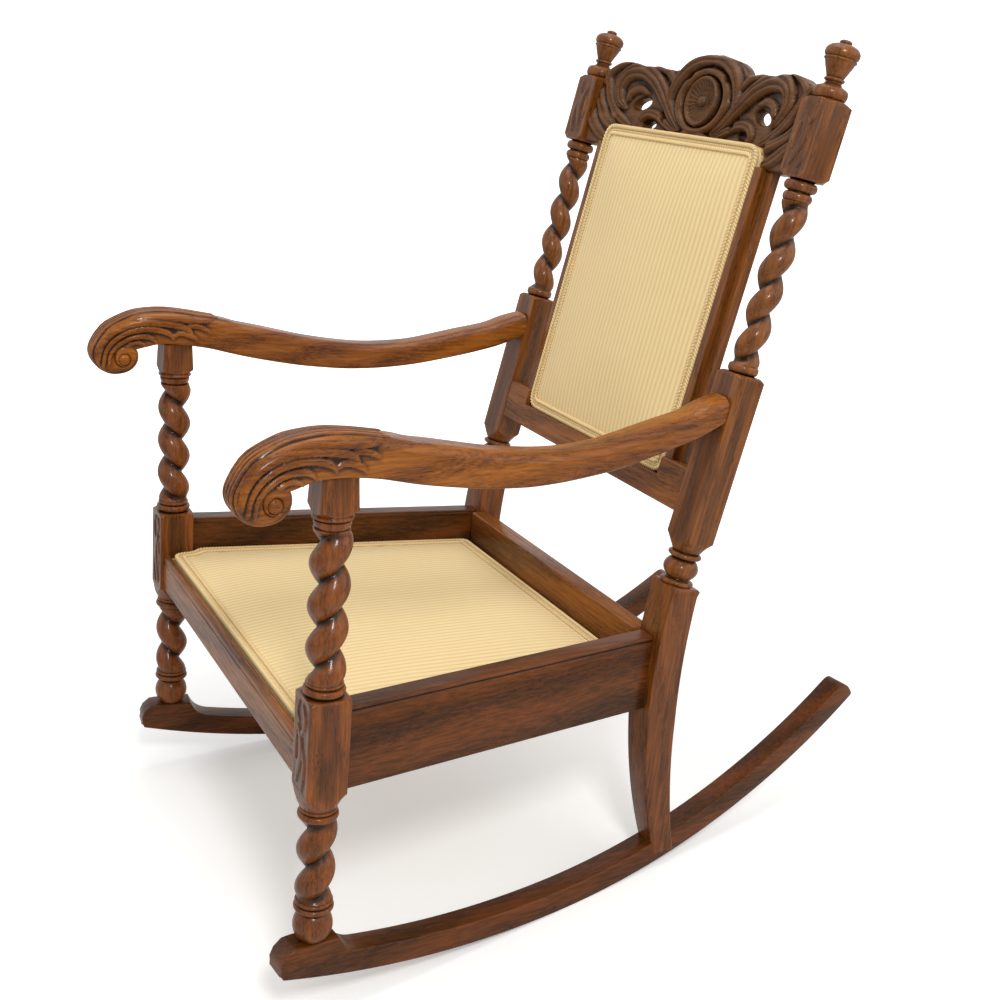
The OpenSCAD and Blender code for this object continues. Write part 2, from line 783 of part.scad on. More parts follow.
block_run = 56;
block_thick = 26;
block_gap = 4;
block_top_z = seat_z - block_gap / 2;

function front_corner() = [
    [front_x - block_w / 2 - block_run, front_rail_back_y], [front_x - block_w / 2, front_rail_back_y],
    [front_x - block_w / 2, block_w / 2], [rail_in(block_w / 2), block_w / 2],
    [rail_in(block_w / 2 + block_run), block_w / 2 + block_run]
];
function back_corner() = [
    [rail_in(back_rail_y), back_rail_y], [rail_in(back_rail_y) - block_run, back_rail_y],
    [rail_in(back_rail_y - block_run), back_rail_y - block_run]
];

module corner_block_pair() {
    for (corner = [front_corner(), back_corner()])
        translate([0, 0, block_top_z - block_thick]) linear_extrude(block_thick) polygon(corner);
}

module corner_blocks() {
    color(beech) for (side = ["left", "right"]) hand(side) difference() {
        corner_block_pair();
        block_screw_holes();
    }
}

// Screws that hold the corner blocks, square to the slanted face of each block
block_screw_lift = 13;
block_screw_l = 34;

module block_screws_at(from, to, aim) {
    mid = (from + to) / 2;
    run = norm(to - from);
    normal = [(to - from)[1], -(to - from)[0]] / run * aim;
    for (k = [-0.22, 0.22]) {
        p = mid + (to - from) * k;
        translate([p[0], p[1], block_top_z - block_screw_lift])
            rotate([0, 0, atan2(normal[1], normal[0])]) rotate([0, 90, 0]) children();
    }
}

module block_screw_places() {
    f = front_corner();
    b = back_corner();
    block_screws_at(f[4], f[0], 1) children();
    block_screws_at(b[1], b[2], 1) children();
}

module block_screw_holes() {
    block_screw_places() screw_hole(block_screw_l);
}

module block_screws() {
    color(steel) for (side = ["left", "right"]) hand(side) block_screw_places() screw(block_screw_l);
}

cleat_from = block_w / 2 + block_run + block_gap;
cleat_to = back_rail_y - block_run - block_gap;
cleat_z = seat_z - cleat_w;

module side_cleat_bar() {
    translate([0, 0, cleat_z]) linear_extrude(cleat_w) polygon([
        [rail_in(cleat_from), cleat_from], [rail_in(cleat_to), cleat_to],
        [rail_in(cleat_to) - cleat_w, cleat_to], [rail_in(cleat_from) - cleat_w, cleat_from]
    ]);
}

// Screws through a side cleat into its rail
module cleat_screw_places() {
    for (t = [0.12, 0.5, 0.88]) {
        y = cleat_from + (cleat_to - cleat_from) * t;
        translate([rail_in(y) - cleat_w, y, cleat_z + cleat_w / 2])
            rotate([0, 0, rail_yaw]) rotate([0, -90, 0]) children();
    }
}

module side_cleat() {
    color(beech) difference() {
        side_cleat_bar();
        cleat_screw_places() screw_hole(screw_l);
    }
}

back_cleat_half = rail_in(back_rail_y) - block_run - block_gap;

module back_cleat_screws() {
    for (k = [-0.8, 0, 0.8])
        translate([back_cleat_half * k, back_rail_y - cleat_w, cleat_z + cleat_w / 2]) rotate([90, 0, 0]) children();
}

module back_cleat() {
    color(beech) difference() {
        translate([-back_cleat_half, back_rail_y - cleat_w, cleat_z]) cube([2 * back_cleat_half, cleat_w, cleat_w]);
        back_cleat_screws() screw_hole(screw_l);
    }
}

module cleat_screws() {
    color(steel) {
        for (side = ["left", "right"]) hand(side) cleat_screw_places() screw(screw_l);
        back_cleat_screws() screw(screw_l);
    }
}

// Dowels in the seat box

dowel_low = 0.3;
dowel_high = 0.72;

module side_rail_dowels(at_front) {
    y = at_front ? block_w / 2 : leg_run + leg_overlap / 2;
    x = (rail_out(y) + rail_in(y)) / 2;
    for (k = [dowel_low, dowel_high])
        translate([x, y, rail_bottom_z + rail_h * k]) rotate([0, 0, rail_yaw]) rotate([90, 0, 0])
            translate([0, 0, -dowel_l / 2]) cylinder(r = dowel_r, h = dowel_l, $fn = fn_small);
}

module front_rail_dowels() {
    y = lip_y - lip_t + front_rail_t / 2;
    for (k = [0.02, 0.5])
        translate([front_x - block_w / 2 - dowel_l / 2, y, front_rail_z + (seat_z - front_rail_z) * k + dowel_r])
            rotate([0, 90, 0]) cylinder(r = dowel_r, h = dowel_l * 0.9, $fn = fn_small);
}

module back_rail_dowels() {
    y = back_rail_y + rail_t * 0.72;
    for (k = [dowel_low + 0.12, dowel_high - 0.12])
        translate([rear_x - rear_w / 2 - dowel_l / 2, y, rail_bottom_z + rail_h * k])
            rotate([0, 90, 0]) cylinder(r = dowel_r, h = dowel_l * 0.9, $fn = fn_small);
}

module rail_dowels() {
    color(beech) for (side = ["left", "right"]) hand(side) {
        side_rail_dowels(true);
        side_rail_dowels(false);
        front_rail_dowels();
        back_rail_dowels();
    }
}

// Back

// The crest rail's outline from its middle to its end, as shares of its half length and of its end height
crest_shares = [
    [0, 1.3], [0.11, 1.295], [0.22, 1.25], [0.29, 1.18], [0.33, 1.11], [0.4, 1.09], [0.5, 1.105], [0.6, 1.09],
    [0.7, 1.11], [0.8, 1.12], [0.9, 1.06], [0.96, 1.02], [1, 0.99]
];
// Piercings on each side of the crest: place, width, height and turn, in the same shares
crest_pierce_shares = [
    [0.59, 0.632, 0.15, 0.13, -12], [0.45, 0.4, 0.1, 0.09, 10], [0.168, 1.03, 0.05, 0.07, 0]
];

module crest_face() {
    half = [for (p = smooth(crest_shares, 3)) [p[0] * crest_half, crest_end_s + p[1] * crest_end_h]];
    difference() {
        polygon(concat(
            [[-crest_half, crest_end_s], [crest_half, crest_end_s]],
            [for (i = [len(half) - 1:-1:0]) half[i]],
            [for (i = [1:len(half) - 1]) [-half[i][0], half[i][1]]]
        ));
        for (side = [-1, 1]) for (p = crest_pierce_shares)
            translate([side * p[0] * crest_half, crest_end_s + p[1] * crest_end_h]) rotate(side * p[4])
                scale([1, p[3] * crest_end_h / (p[2] * crest_half)]) circle(r = p[2] * crest_half / 2, $fn = fn_small);
    }
}

// The space between the crest's bowed back face and its front face
module crest_bend() {
    middle_back = -crest_front_end + crest_bow + crest_t;
    translate([0, middle_back - crest_r, 0]) difference() {
        cylinder(r = crest_r, h = far, $fn = fn_arc);
        translate([0, 0, -cut]) cylinder(r = crest_r - crest_t, h = far + 2 * cut, $fn = fn_arc);
    }
}

module crest_rail() {
    color(oak) difference() {
        raked() intersection() {
            translate([0, far / 8, 0]) rotate([90, 0, 0]) linear_extrude(far / 4) crest_face();
            crest_bend();
        }
        raked() panel_pocket();
        for (side = ["left", "right"]) hand(side) {
            back_cross_dowels();
            stile_dowels();
        }
    }
}

// The rebate that the back panel drops into from the front
module panel_pocket() {
    translate([-panel_half, -rebate_back - far, panel_s]) cube([2 * panel_half, far, panel_top_s - panel_s]);
}

module lower_back_rail() {
    half = rear_x - rear_w / 2;
    color(oak) difference() {
        raked() translate([-half, -low_rail_front, low_rail_s]) cube([2 * half, low_rail_t, low_rail_h]);
        raked() panel_pocket();
        for (side = ["left", "right"]) hand(side) {
            back_cross_dowels();
            stile_dowels();
        }
    }
}

module back_stile() {
    color(oak) difference() {
        raked() translate([stile_out - stile_w, -stile_front, low_rail_top_s])
            cube([stile_w, stile_t, crest_end_s - low_rail_top_s]);
        raked() panel_pocket();
        stile_dowels();
        panel_screw_places() screw_hole(panel_screw_l);
    }
}

module back_cross_dowels() {
    x = rear_x - rear_w / 2 - dowel_l / 2;
    raked() {
        for (k = [0.25, 0.75])
            translate([x, -low_rail_front + low_rail_t / 2, low_rail_s + low_rail_h * k])
                rotate([0, 90, 0]) cylinder(r = dowel_r, h = dowel_l * 0.8, $fn = fn_small);
        for (k = [0.22, 0.78])
            translate([x, -crest_front_end + crest_t / 2, crest_end_s + crest_end_h * k])
                rotate([0, 90, 0]) cylinder(r = dowel_r, h = dowel_l * 0.8, $fn = fn_small);
    }
}

stile_dowel_l = 30;
stile_dowel_low = 1;
stile_dowel_high = 3;

module stile_dowels() {
    raked() for (end = [[low_rail_top_s, stile_dowel_low], [crest_end_s, stile_dowel_high]])
        translate([stile_out - dowel_r * 2, end[1], end[0] - stile_dowel_l / 2])
            cylinder(r = dowel_r * 0.8, h = stile_dowel_l, $fn = fn_small);
}

module back_dowels() {
    color(beech) for (side = ["left", "right"]) hand(side) {
        back_cross_dowels();
        stile_dowels();
    }
}

module arm_dowels() {
    color(beech) for (side = ["left", "right"]) hand(side) arm_dowel();
}

// Back panel, in the raked frame: a rebated frame, webbing, padding and braid

panel_edge = 0.5;
panel_w2 = panel_half - panel_edge;
panel_s0 = panel_s + panel_edge;
panel_s1 = panel_top_s - panel_edge;

// Places a flat drawing of the back, X across and Y up the posts, at a distance forward of the axes
module on_back(front) {
    raked() translate([0, -front, 0]) rotate([90, 0, 0]) children();
}

module panel_bar(corners, rebate) {
    color(beech) {
        on_back(panel_front - panel_t) linear_extrude(panel_t - web_rebate) polygon(corners);
        on_back(panel_front - web_rebate - cut / 10) linear_extrude(web_rebate + cut / 10) polygon(rebate);
    }
}

module panel_frame_side() {
    inner = panel_w2 - panel_frame_w;
    step = panel_w2 - panel_frame_w + web_bearing;
    difference() {
        panel_bar(
            [[inner, panel_s0], [panel_w2, panel_s0], [panel_w2, panel_s1], [inner, panel_s1]],
            [[step, panel_s0], [panel_w2, panel_s0], [panel_w2, panel_s1], [step, panel_s1]]
        );
        panel_screw_places() screw_hole(panel_screw_l);
    }
}

module panel_frame_cross(s0, s1, r0, r1) {
    inner = panel_w2 - panel_frame_w;
    panel_bar(
        [[-inner, s0], [inner, s0], [inner, s1], [-inner, s1]],
        [[-inner, r0], [inner, r0], [inner, r1], [-inner, r1]]
    );
}

// Straps of one layer: n straps of width w spread over a span, drawn as [centre] places
function strap_places(n, span, w) = [for (i = [0:n - 1]) -span / 2 + w / 2 + (span - w) * i / (n - 1)];

module back_webbing() {
    half = panel_w2 - panel_frame_w + web_bearing;
    mid = (panel_s0 + panel_s1) / 2;
    up = (panel_s1 - panel_s0) / 2 - panel_frame_w + web_bearing;
    open_x = 2 * (half - web_bearing);
    open_s = 2 * (up - web_bearing);
    color(jute) {
        for (x = strap_places(4, open_x, web_w))
            on_back(panel_front - web_rebate) linear_extrude(web_t)
                translate([x - web_w / 2, mid - up]) square([web_w, 2 * up]);
        for (s = strap_places(5, open_s, web_w))
            on_back(panel_front - web_t) linear_extrude(web_t)
                translate([-half, mid + s - web_w / 2]) square([2 * half, web_w]);
    }
}

// Rings of a cushion: an outline drawn in and raised step by step. Each step is [inset, height]
corner_points = 5;
function rounded_outline(corners, r) = [
    for (i = [0:len(corners) - 1])
        let (
            p = corners[i],
            a = corners[(i + len(corners) - 1) % len(corners)] - p,
            b = corners[(i + 1) % len(corners)] - p,
            ua = a / norm(a),
            ub = b / norm(b)
        )
        for (k = [0:corner_points])
            let (t = k / corner_points)
            p + ua * r * pow(1 - t, 2) + ub * r * pow(t, 2)
];

function toward(p, c, inset, reach) = p + (c - p) * inset / reach;

// How far a pad stays from what is beside it, and how far its sides swell
pad_clear = 1.2;
pad_swell = 0.6;

// A padded form: the outline at the bottom, full sides, a ledge for the braid and a crown
function pad_steps(edge, crown, braid) = concat(
    [[0, 0], [-pad_swell, edge / 2], [0, edge], [braid, edge], [braid + pad_clear, edge + braid_t]],
    [for (t = [0.12, 0.3, 0.5, 0.75, 0.94]) [braid + pad_clear, edge + braid_t + (crown - braid_t) * sin(90 * t), t]]
);

module pad(outline, centre, edge, crown) {
    steps = pad_steps(edge, crown, braid_w);
    loft([
        for (i = [len(steps) - 1:-1:0]) let (s = steps[i]) [
            for (p = outline) let (
                d = norm(centre - p),
                q = toward(p, centre, s[0], d),
                e = len(s) > 2 ? q + (centre - q) * s[2] : q
            ) [e[0], e[1], s[1]]
        ]
    ]);
}

module braid(outline, centre) {
    inner = [for (p = outline) toward(p, centre, braid_w, norm(centre - p))];
    linear_extrude(braid_t) difference() {
        polygon(outline);
        polygon(inner);
    }
}

panel_mid = [0, (panel_s + panel_top_s) / 2];
panel_corner_r = 18;
pad_half = panel_half - pad_clear;
pad_s0 = panel_s + pad_clear;
pad_s1 = panel_top_s - pad_clear;
panel_outline = rounded_outline(
    [[-pad_half, pad_s0], [pad_half, pad_s0], [pad_half, pad_s1], [-pad_half, pad_s1]], panel_corner_r
);
back_edge_t = 5;
back_crown = 8;

module back_cushion() {
    color(fabric) on_back(panel_front) pad(panel_outline, panel_mid, back_edge_t, back_crown);
}

module back_border() {
    color(fabric) on_back(panel_front + back_edge_t) braid(panel_outline, panel_mid);
}

cloth_t = 0.8;

module back_cloth() {
    half = panel_half - panel_lap * 2;
    color(jute) on_back(rebate_back - cloth_t) linear_extrude(cloth_t)
        translate([-half, low_rail_top_s + cut]) square([2 * half, crest_end_s - low_rail_top_s - 2 * cut]);
}

panel_screw_l = 13;

module panel_screw_places() {
    tongue = stile_out - stile_w + panel_lap / 2;
    raked() for (k = [0.15, 0.5, 0.85])
        translate([tongue, -stile_front + stile_t, low_rail_top_s + (crest_end_s - low_rail_top_s) * k])
            rotate([-90, 0, 0]) children();
}

module panel_screws() {
    color(steel) for (side = ["left", "right"]) hand(side) panel_screw_places() screw(panel_screw_l);
}

// Drop-in seat: webbing in a rebate under a rebated frame, stuffing in the frame and over it, braid

function seat_corners(inset) = [
    [notch_x - inset, seat_front_y + inset], [notch_x - inset, notch_y + inset * 0.6],
    [seat_half(notch_y, inset), notch_y + inset * 0.6], [seat_half(seat_back_y, inset), seat_back_y - inset]
];

module seat_bar(high, low) {
    color(beech) {
        translate([0, 0, seat_z]) linear_extrude(web_rebate + cut / 10) polygon(low);
        translate([0, 0, seat_z + web_rebate]) linear_extrude(seat_frame_t - web_rebate) polygon(high);
    }
}

module seat_frame_side() {
    inner = seat_frame_w;
    step = seat_frame_w - web_bearing;
    edge = seat_corners(0);
    seat_bar(
        concat(edge, [
            [seat_half(seat_back_y, inner), seat_back_y], [seat_half(seat_front_y, inner), seat_front_y]
        ]),
        concat(edge, [
            [seat_half(seat_back_y, step), seat_back_y], [seat_half(seat_front_y, step + seat_gap * 3), seat_front_y]
        ])
    );
}

module seat_frame_cross(y0, y1, r0, r1) {
    w = seat_frame_w;
    seat_bar(
        [
            [-seat_half(y0, w), y0], [seat_half(y0, w), y0],
            [seat_half(y1, w), y1], [-seat_half(y1, w), y1]
        ],
        [
            [-seat_half(r0, w), r0], [seat_half(r0, w), r0],
            [seat_half(r1, w), r1], [-seat_half(r1, w), r1]
        ]
    );
}

module seat_webbing() {
    y0 = seat_front_y + seat_frame_w - web_bearing;
    y1 = seat_back_y - seat_frame_w + web_bearing;
    w = web_w;
    color(jute) {
        for (x = strap_places(6, 2 * seat_half(seat_back_y, seat_frame_w), w))
            translate([x - w / 2, y0, seat_z]) cube([w, y1 - y0, web_t]);
        for (i = [0:4]) {
            y = y0 + web_bearing + (y1 - y0 - 2 * web_bearing - w) * i / 4;
            half0 = seat_half(y, seat_frame_w - web_bearing) - seat_gap * 4;
            half1 = seat_half(y + w, seat_frame_w - web_bearing) - seat_gap * 4;
            translate([0, 0, seat_z + web_t]) linear_extrude(web_t)
                polygon([[-half0, y], [half0, y], [half1, y + w], [-half1, y + w]]);
        }
    }
}

seat_mid = [0, (seat_front_y + seat_back_y) / 2];
seat_corner_r = 10;
pad_notch = 2 * pad_clear;
seat_half_corners = [
    [notch_x - pad_clear, seat_front_y + pad_clear], [notch_x - pad_clear, notch_y + pad_clear],
    [seat_half(notch_y, pad_clear), notch_y + pad_notch], [seat_half(seat_back_y, pad_clear), seat_back_y - pad_clear]
];
seat_outline = rounded_outline(concat(
    seat_half_corners,
    [for (i = [3:-1:0]) [-seat_half_corners[i][0], seat_half_corners[i][1]]]
), seat_corner_r);

module seat_cushion() {
    w = seat_frame_w + seat_gap / 10;
    y0 = seat_front_y + w;
    y1 = seat_back_y - w;
    color(fabric) {
        translate([0, 0, seat_top_z]) pad(seat_outline, seat_mid, seat_edge_t, seat_crown);
        translate([0, 0, seat_z + web_rebate]) linear_extrude(seat_frame_t - web_rebate + cut) polygon([
            [-seat_half(y0, w), y0], [seat_half(y0, w), y0], [seat_half(y1, w), y1], [-seat_half(y1, w), y1]
        ]);
    }
}

module seat_border() {
    color(fabric) translate([0, 0, seat_top_z + seat_edge_t]) braid(seat_outline, seat_mid);
}

module seat_dust_cloth() {
    inset = cleat_w + seat_gap * 2;
    y0 = front_rail_back_y + seat_gap;
    y1 = seat_back_y - inset;
    color(jute) translate([0, 0, seat_z - cloth_t]) linear_extrude(cloth_t) polygon([
        [-seat_half(y0, inset * 2), y0], [seat_half(y0, inset * 2), y0],
        [seat_half(y1, inset), y1], [-seat_half(y1, inset), y1]
    ]);
}

module runner_screws() {
    color(steel) for (side = ["left", "right"]) hand(side) runner_screw_place() screw(screw_l);
}

stand() rocker();  // left_rocker
stand() hand("right") rocker();  // right_rocker
stand() front_post();  // left_front_post
stand() hand("right") front_post();  // right_front_post
stand() rear_post();  // left_rear_post
stand() hand("right") rear_post();  // right_rear_post
stand() arm();  // left_arm
stand() hand("right") arm();  // right_arm
stand() finial();  // left_finial
stand() hand("right") finial();  // right_finial
stand() front_rail();
stand() back_rail();
stand() side_rail();  // left_side_rail
stand() hand("right") side_rail();  // right_side_rail
stand() crest_rail();
stand() lower_back_rail();
stand() back_stile();  // left_back_stile
stand() hand("right") back_stile();  // right_back_stile
stand() panel_frame_side();  // panel_frame_left
stand() hand("right") panel_frame_side();  // panel_frame_right
stand() panel_frame_cross(panel_s1 - panel_frame_w, panel_s1, panel_s1 - panel_frame_w + web_bearing, panel_s1);  // panel_frame_top
stand() panel_frame_cross(panel_s0, panel_s0 + panel_frame_w, panel_s0, panel_s0 + panel_frame_w - web_bearing);  // panel_frame_bottom
stand() back_webbing();
stand() back_cushion();
stand() back_border();
stand() back_cloth();
stand() seat_frame_side();  // seat_frame_left
stand() hand("right") seat_frame_side();  // seat_frame_right
stand() seat_frame_cross(  // seat_frame_front
        seat_front_y, seat_front_y + seat_frame_w, seat_front_y, seat_front_y + seat_frame_w - web_bearing
    );
stand() seat_frame_cross(  // seat_frame_back
        seat_back_y - seat_frame_w, seat_back_y, seat_back_y - seat_frame_w + web_bearing, seat_back_y
    );
stand() seat_webbing();
stand() seat_cushion();
stand() seat_border();
stand() seat_dust_cloth();
stand() side_cleat();  // left_cleat
stand() hand("right") side_cleat();  // right_cleat
stand() back_cleat();
stand() corner_blocks();
stand() rail_dowels();
stand() back_dowels();
stand() arm_dowels();
stand() runner_screws();
stand() cleat_screws();
stand() block_screws();
stand() panel_screws();
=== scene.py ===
"""Looks of a twist-turned oak rocking chair with a padded back panel and a drop-in seat.

Every piece is drawn in millimetres in the chair's own frame (X across, Y from the front posts to the back,
Z up from the lowest point of the runners) and then leaned back on its runners into the shared frame.
"""

import json
import logging
import math
from collections.abc import Callable, Sequence
from dataclasses import dataclass, field
from enum import Enum

import bmesh
import bpy
import numpy as np
from mathutils import Matrix, Vector


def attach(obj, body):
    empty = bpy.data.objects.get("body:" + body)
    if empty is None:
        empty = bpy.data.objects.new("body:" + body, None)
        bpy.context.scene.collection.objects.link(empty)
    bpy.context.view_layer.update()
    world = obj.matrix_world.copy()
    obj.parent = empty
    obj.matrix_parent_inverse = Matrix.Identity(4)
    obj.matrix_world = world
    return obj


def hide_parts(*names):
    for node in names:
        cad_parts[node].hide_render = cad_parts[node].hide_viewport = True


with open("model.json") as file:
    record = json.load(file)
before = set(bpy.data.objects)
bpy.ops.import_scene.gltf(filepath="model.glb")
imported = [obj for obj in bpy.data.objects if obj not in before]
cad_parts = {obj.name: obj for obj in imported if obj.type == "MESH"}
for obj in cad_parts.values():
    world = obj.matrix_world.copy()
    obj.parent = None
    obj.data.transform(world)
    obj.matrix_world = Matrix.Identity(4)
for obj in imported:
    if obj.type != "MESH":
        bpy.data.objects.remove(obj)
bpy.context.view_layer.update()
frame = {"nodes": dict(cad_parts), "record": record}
log = logging.getLogger("rocking_chair")

Array = np.ndarray
Faces = list[tuple[int, ...]]
Material = bpy.types.Material
Piece = bpy.types.Object
Socket = bpy.types.NodeSocket
Tree = bpy.types.NodeTree
MM = 0.001


class Side(Enum):
    """The sitter's left is +X, the right is its mirror image."""

    LEFT = 1
    RIGHT = -1

    @property
    def word(self) -> str:
        """The word that piece names use."""
        return self.name.lower()


class Grain(Enum):
    """The way a piece's grain runs, as a turn of the pattern about X, Y and Z in degrees."""

    UPRIGHT = (7.3, 0.0, 0.0)
    RAKED = (19.3, 0.0, 0.0)
    FORE_AND_AFT = (97.3, 0.0, 0.0)
    ACROSS = (0.0, 90.0, 0.0)


def leaned(points: Array, angle_deg: float, y: float, z: float) -> Array:
    """Leans points back about X, then moves them.

    Args:
        points: last axis X, Y, Z.
        angle_deg: how far they lean.
        y: how far they then move along Y.
        z: how far they then move along Z.

    Returns:
        The moved points.
    """
    a = math.radians(angle_deg)
    p = np.asarray(points, float)
    back = y + p[..., 1] * math.cos(a) + p[..., 2] * math.sin(a)
    up = z - p[..., 1] * math.sin(a) + p[..., 2] * math.cos(a)
    return np.stack([p[..., 0], back, up], axis=-1)


@dataclass(frozen=True)
class Stance:
    """How the chair stands: leaned back on its runners, its outline centred over the origin."""

    lean_deg: float = 7.3
    shift_y: float = -412.939
    lift: float = 39.788

    def world(self, points: Array) -> Array:
        """Turns the chair's frame, in millimetres, into the shared frame, in metres."""
        return leaned(points, self.lean_deg, self.shift_y, self.lift) * MM

    def turn(self) -> Matrix:
        """The lean as a rotation matrix."""
        return Matrix.Rotation(-math.radians(self.lean_deg), 3, "X")


@dataclass(frozen=True)
class Rake:
    """The raked frame of the upper rear posts: Z up the posts, -Y forward."""

    angle_deg: float = 12.0
    y: float = 496.0
    z: float = 475.0

    def chair(self, points: Array) -> Array:
        """Turns points of the raked frame into the chair's frame."""
        return leaned(points, self.angle_deg, self.y, self.z)


STANCE = Stance()
RAKE = Rake()


# Mesh tools

# Edges sharper than this stay crisp: on turned work, and on planed boards
SHARP_DEG = 38.0
BOARD_SHARP_DEG = 50.0


def smoothstep(x: Array | float, lo: float, hi: float) -> Array:
    """A soft step at x that leaves 0 at lo and reaches 1 at hi."""
    t = np.clip((np.asarray(x, float) - lo) / (hi - lo), 0.0, 1.0)
    return t * t * (3.0 - 2.0 * t)


def smooth_curve(points: Sequence[Sequence[float]], steps: int) -> Array:
    """A smooth curve through control points.

    Args:
        points: the control points, each of any number of values.
        steps: samples between two control points.

    Returns:
        The sampled curve, first and last control point included.
    """
    p = np.asarray(points, float)
    q = np.vstack([2 * p[0] - p[1], p, 2 * p[-1] - p[-2]])
    out = []
    for i in range(1, len(q) - 2):
        for t in np.linspace(0, 1, steps, endpoint=False):
            a, b, c, d = q[i - 1], q[i], q[i + 1], q[i + 2]
            out.append(0.5 * (
                2 * b + (c - a) * t
                + (2 * a - 5 * b + 4 * c - d) * t**2
                + (3 * b - a - 3 * c + d) * t**3
            ))
    out.append(p[-1])
    return np.array(out)


def distances(points: Array) -> Array:
    """How far each point lies along the line through them all."""
    return np.concatenate([[0], np.cumsum(np.linalg.norm(np.diff(points, axis=0), axis=1))])


def evenly_round(points: list[Array], spacing: float, count: int = 0) -> Array:
    """Evenly spaced points round a closed line.

    Args:
        points: the line's points, X and Y.
        spacing: the distance wanted between two new points.
        count: how many points instead, or 0 to go by the spacing.

    Returns:
        The new points.
    """
    loop = np.array(points + [points[0]])
    run = distances(loop)
    at = np.linspace(0, run[-1], count or int(run[-1] / spacing), endpoint=False)
    return np.stack([np.interp(at, run, loop[:, 0]), np.interp(at, run, loop[:, 1])], -1)


def soften(grid: Array, rows: int, columns: int, wrap: bool) -> Array:
    """A box blur of a height grid, used to tell hollows from ridges.

    Args:
        grid: heights, rows by columns.
        rows: blur reach over rows.
        columns: blur reach over columns.
        wrap: whether the columns close into a ring.

    Returns:
        The blurred heights.
    """
    out = np.zeros_like(grid)
    padded = np.pad(grid, ((rows, rows), (0, 0)), mode="edge")
    padded = np.pad(padded, ((0, 0), (columns, columns)), mode="wrap" if wrap else "edge")
    count = 0
    for i in range(0, 2 * rows + 1, max(1, rows // 2)):
        for j in range(0, 2 * columns + 1, max(1, columns // 2)):
            out += padded[i : i + grid.shape[0], j : j + grid.shape[1]]
            count += 1
    return out / count


def add_object(name: str, data: bpy.types.ID) -> Piece:
    """Adds an object to the scene.

    Args:
        name: its name.
        data: its mesh, lamp or camera.

    Returns:
        The object, at the origin.
    """
    obj = bpy.data.objects.new(name, data)
    bpy.context.scene.collection.objects.link(obj)
    return obj


def finish_mesh(
    name: str, verts: Array, faces: Faces, hollow: Array | None = None, sharp_deg: float = SHARP_DEG
) -> Piece:
    """Makes an object of a closed mesh, its faces pointing outwards.

    Args:
        name: the piece's name.
        verts: metres, in the shared frame.
        faces: vertex indices.
        hollow: for each vertex, from 0 on a ridge to 1 deep in a groove, or None.
        sharp_deg: edges sharper than this stay crisp.

    Returns:
        The new object, at the origin.
    """
    mesh = bpy.data.meshes.new(name)
    mesh.from_pydata(verts.tolist(), [], faces)
    mesh.update()
    mesh.calc_loop_triangles()
    count = len(mesh.loop_triangles)
    tri = np.zeros(count * 3, np.int32)
    mesh.loop_triangles.foreach_get("vertices", tri)
    corners = verts[tri.reshape(-1, 3)]
    volume = np.einsum("ij,ij->", corners[:, 0], np.cross(corners[:, 1], corners[:, 2]))
    if volume < 0:
        mesh.flip_normals()
    if hollow is not None:
        layer = mesh.attributes.new("hollow", "FLOAT", "POINT")
        layer.data.foreach_set("value", np.clip(hollow, 0, 1).astype(np.float32))
    mesh.polygons.foreach_set("use_smooth", [True] * len(mesh.polygons))
    mesh.set_sharp_from_angle(angle=math.radians(sharp_deg))
    return add_object(name, mesh)


def ring_faces(rows: int, columns: int, start: int = 0, closed: bool = True) -> Faces:
    """Quads between rings of points, with both ends capped when the rings are closed.

    Args:
        rows: number of rings.
        columns: points in a ring.
        start: index of the first point.
        closed: whether each ring closes.

    Returns:
        The faces.
    """
    r, c = np.meshgrid(np.arange(rows - 1), np.arange(columns if closed else columns - 1), indexing="ij")
    a = start + r * columns + c
    b = start + r * columns + (c + 1) % columns
    quads = np.stack([a, b, b + columns, a + columns], axis=-1).reshape(-1, 4)
    faces = [tuple(q) for q in quads.tolist()]
    if closed:
        faces.append(tuple(range(start + columns - 1, start - 1, -1)))
        faces.append(tuple(range(start + (rows - 1) * columns, start + rows * columns)))
    return faces


def ring_piece(name: str, rings: Array, hollow: Array | None = None, sharp_deg: float = SHARP_DEG) -> Piece:
    """A closed piece from rings of points in the chair's frame.

    Args:
        name: the piece's name.
        rings: rings by points by 3, in millimetres.
        hollow: rings by points, or None.
        sharp_deg: edges sharper than this stay crisp.

    Returns:
        The new object.
    """
    rows, columns = rings.shape[:2]
    verts = STANCE.world(rings.reshape(-1, 3))
    flat = None if hollow is None else hollow.reshape(-1)
    return finish_mesh(name, verts, ring_faces(rows, columns), flat, sharp_deg)


def rounded_section(w: float, h: float, r: float, steps: int = 4) -> Array:
    """A rounded rectangle, u across about 0 and v up from 0.

    Args:
        w: width.
        h: height.
        r: corner radius.
        steps: points in each corner arc.

    Returns:
        Points by 2.
    """
    r = min(r, w * 0.499, h * 0.499)
    out = []
    right, left, upper = w / 2 - r, -w / 2 + r, h - r
    for cu, cv, a0 in ((right, upper, 0), (left, upper, 90), (left, r, 180), (right, r, 270)):
        for k in range(steps + 1):
            a = math.radians(a0 + 90 * k / steps)
            out.append((cu + r * math.cos(a), cv + r * math.sin(a)))
    return np.array(out)


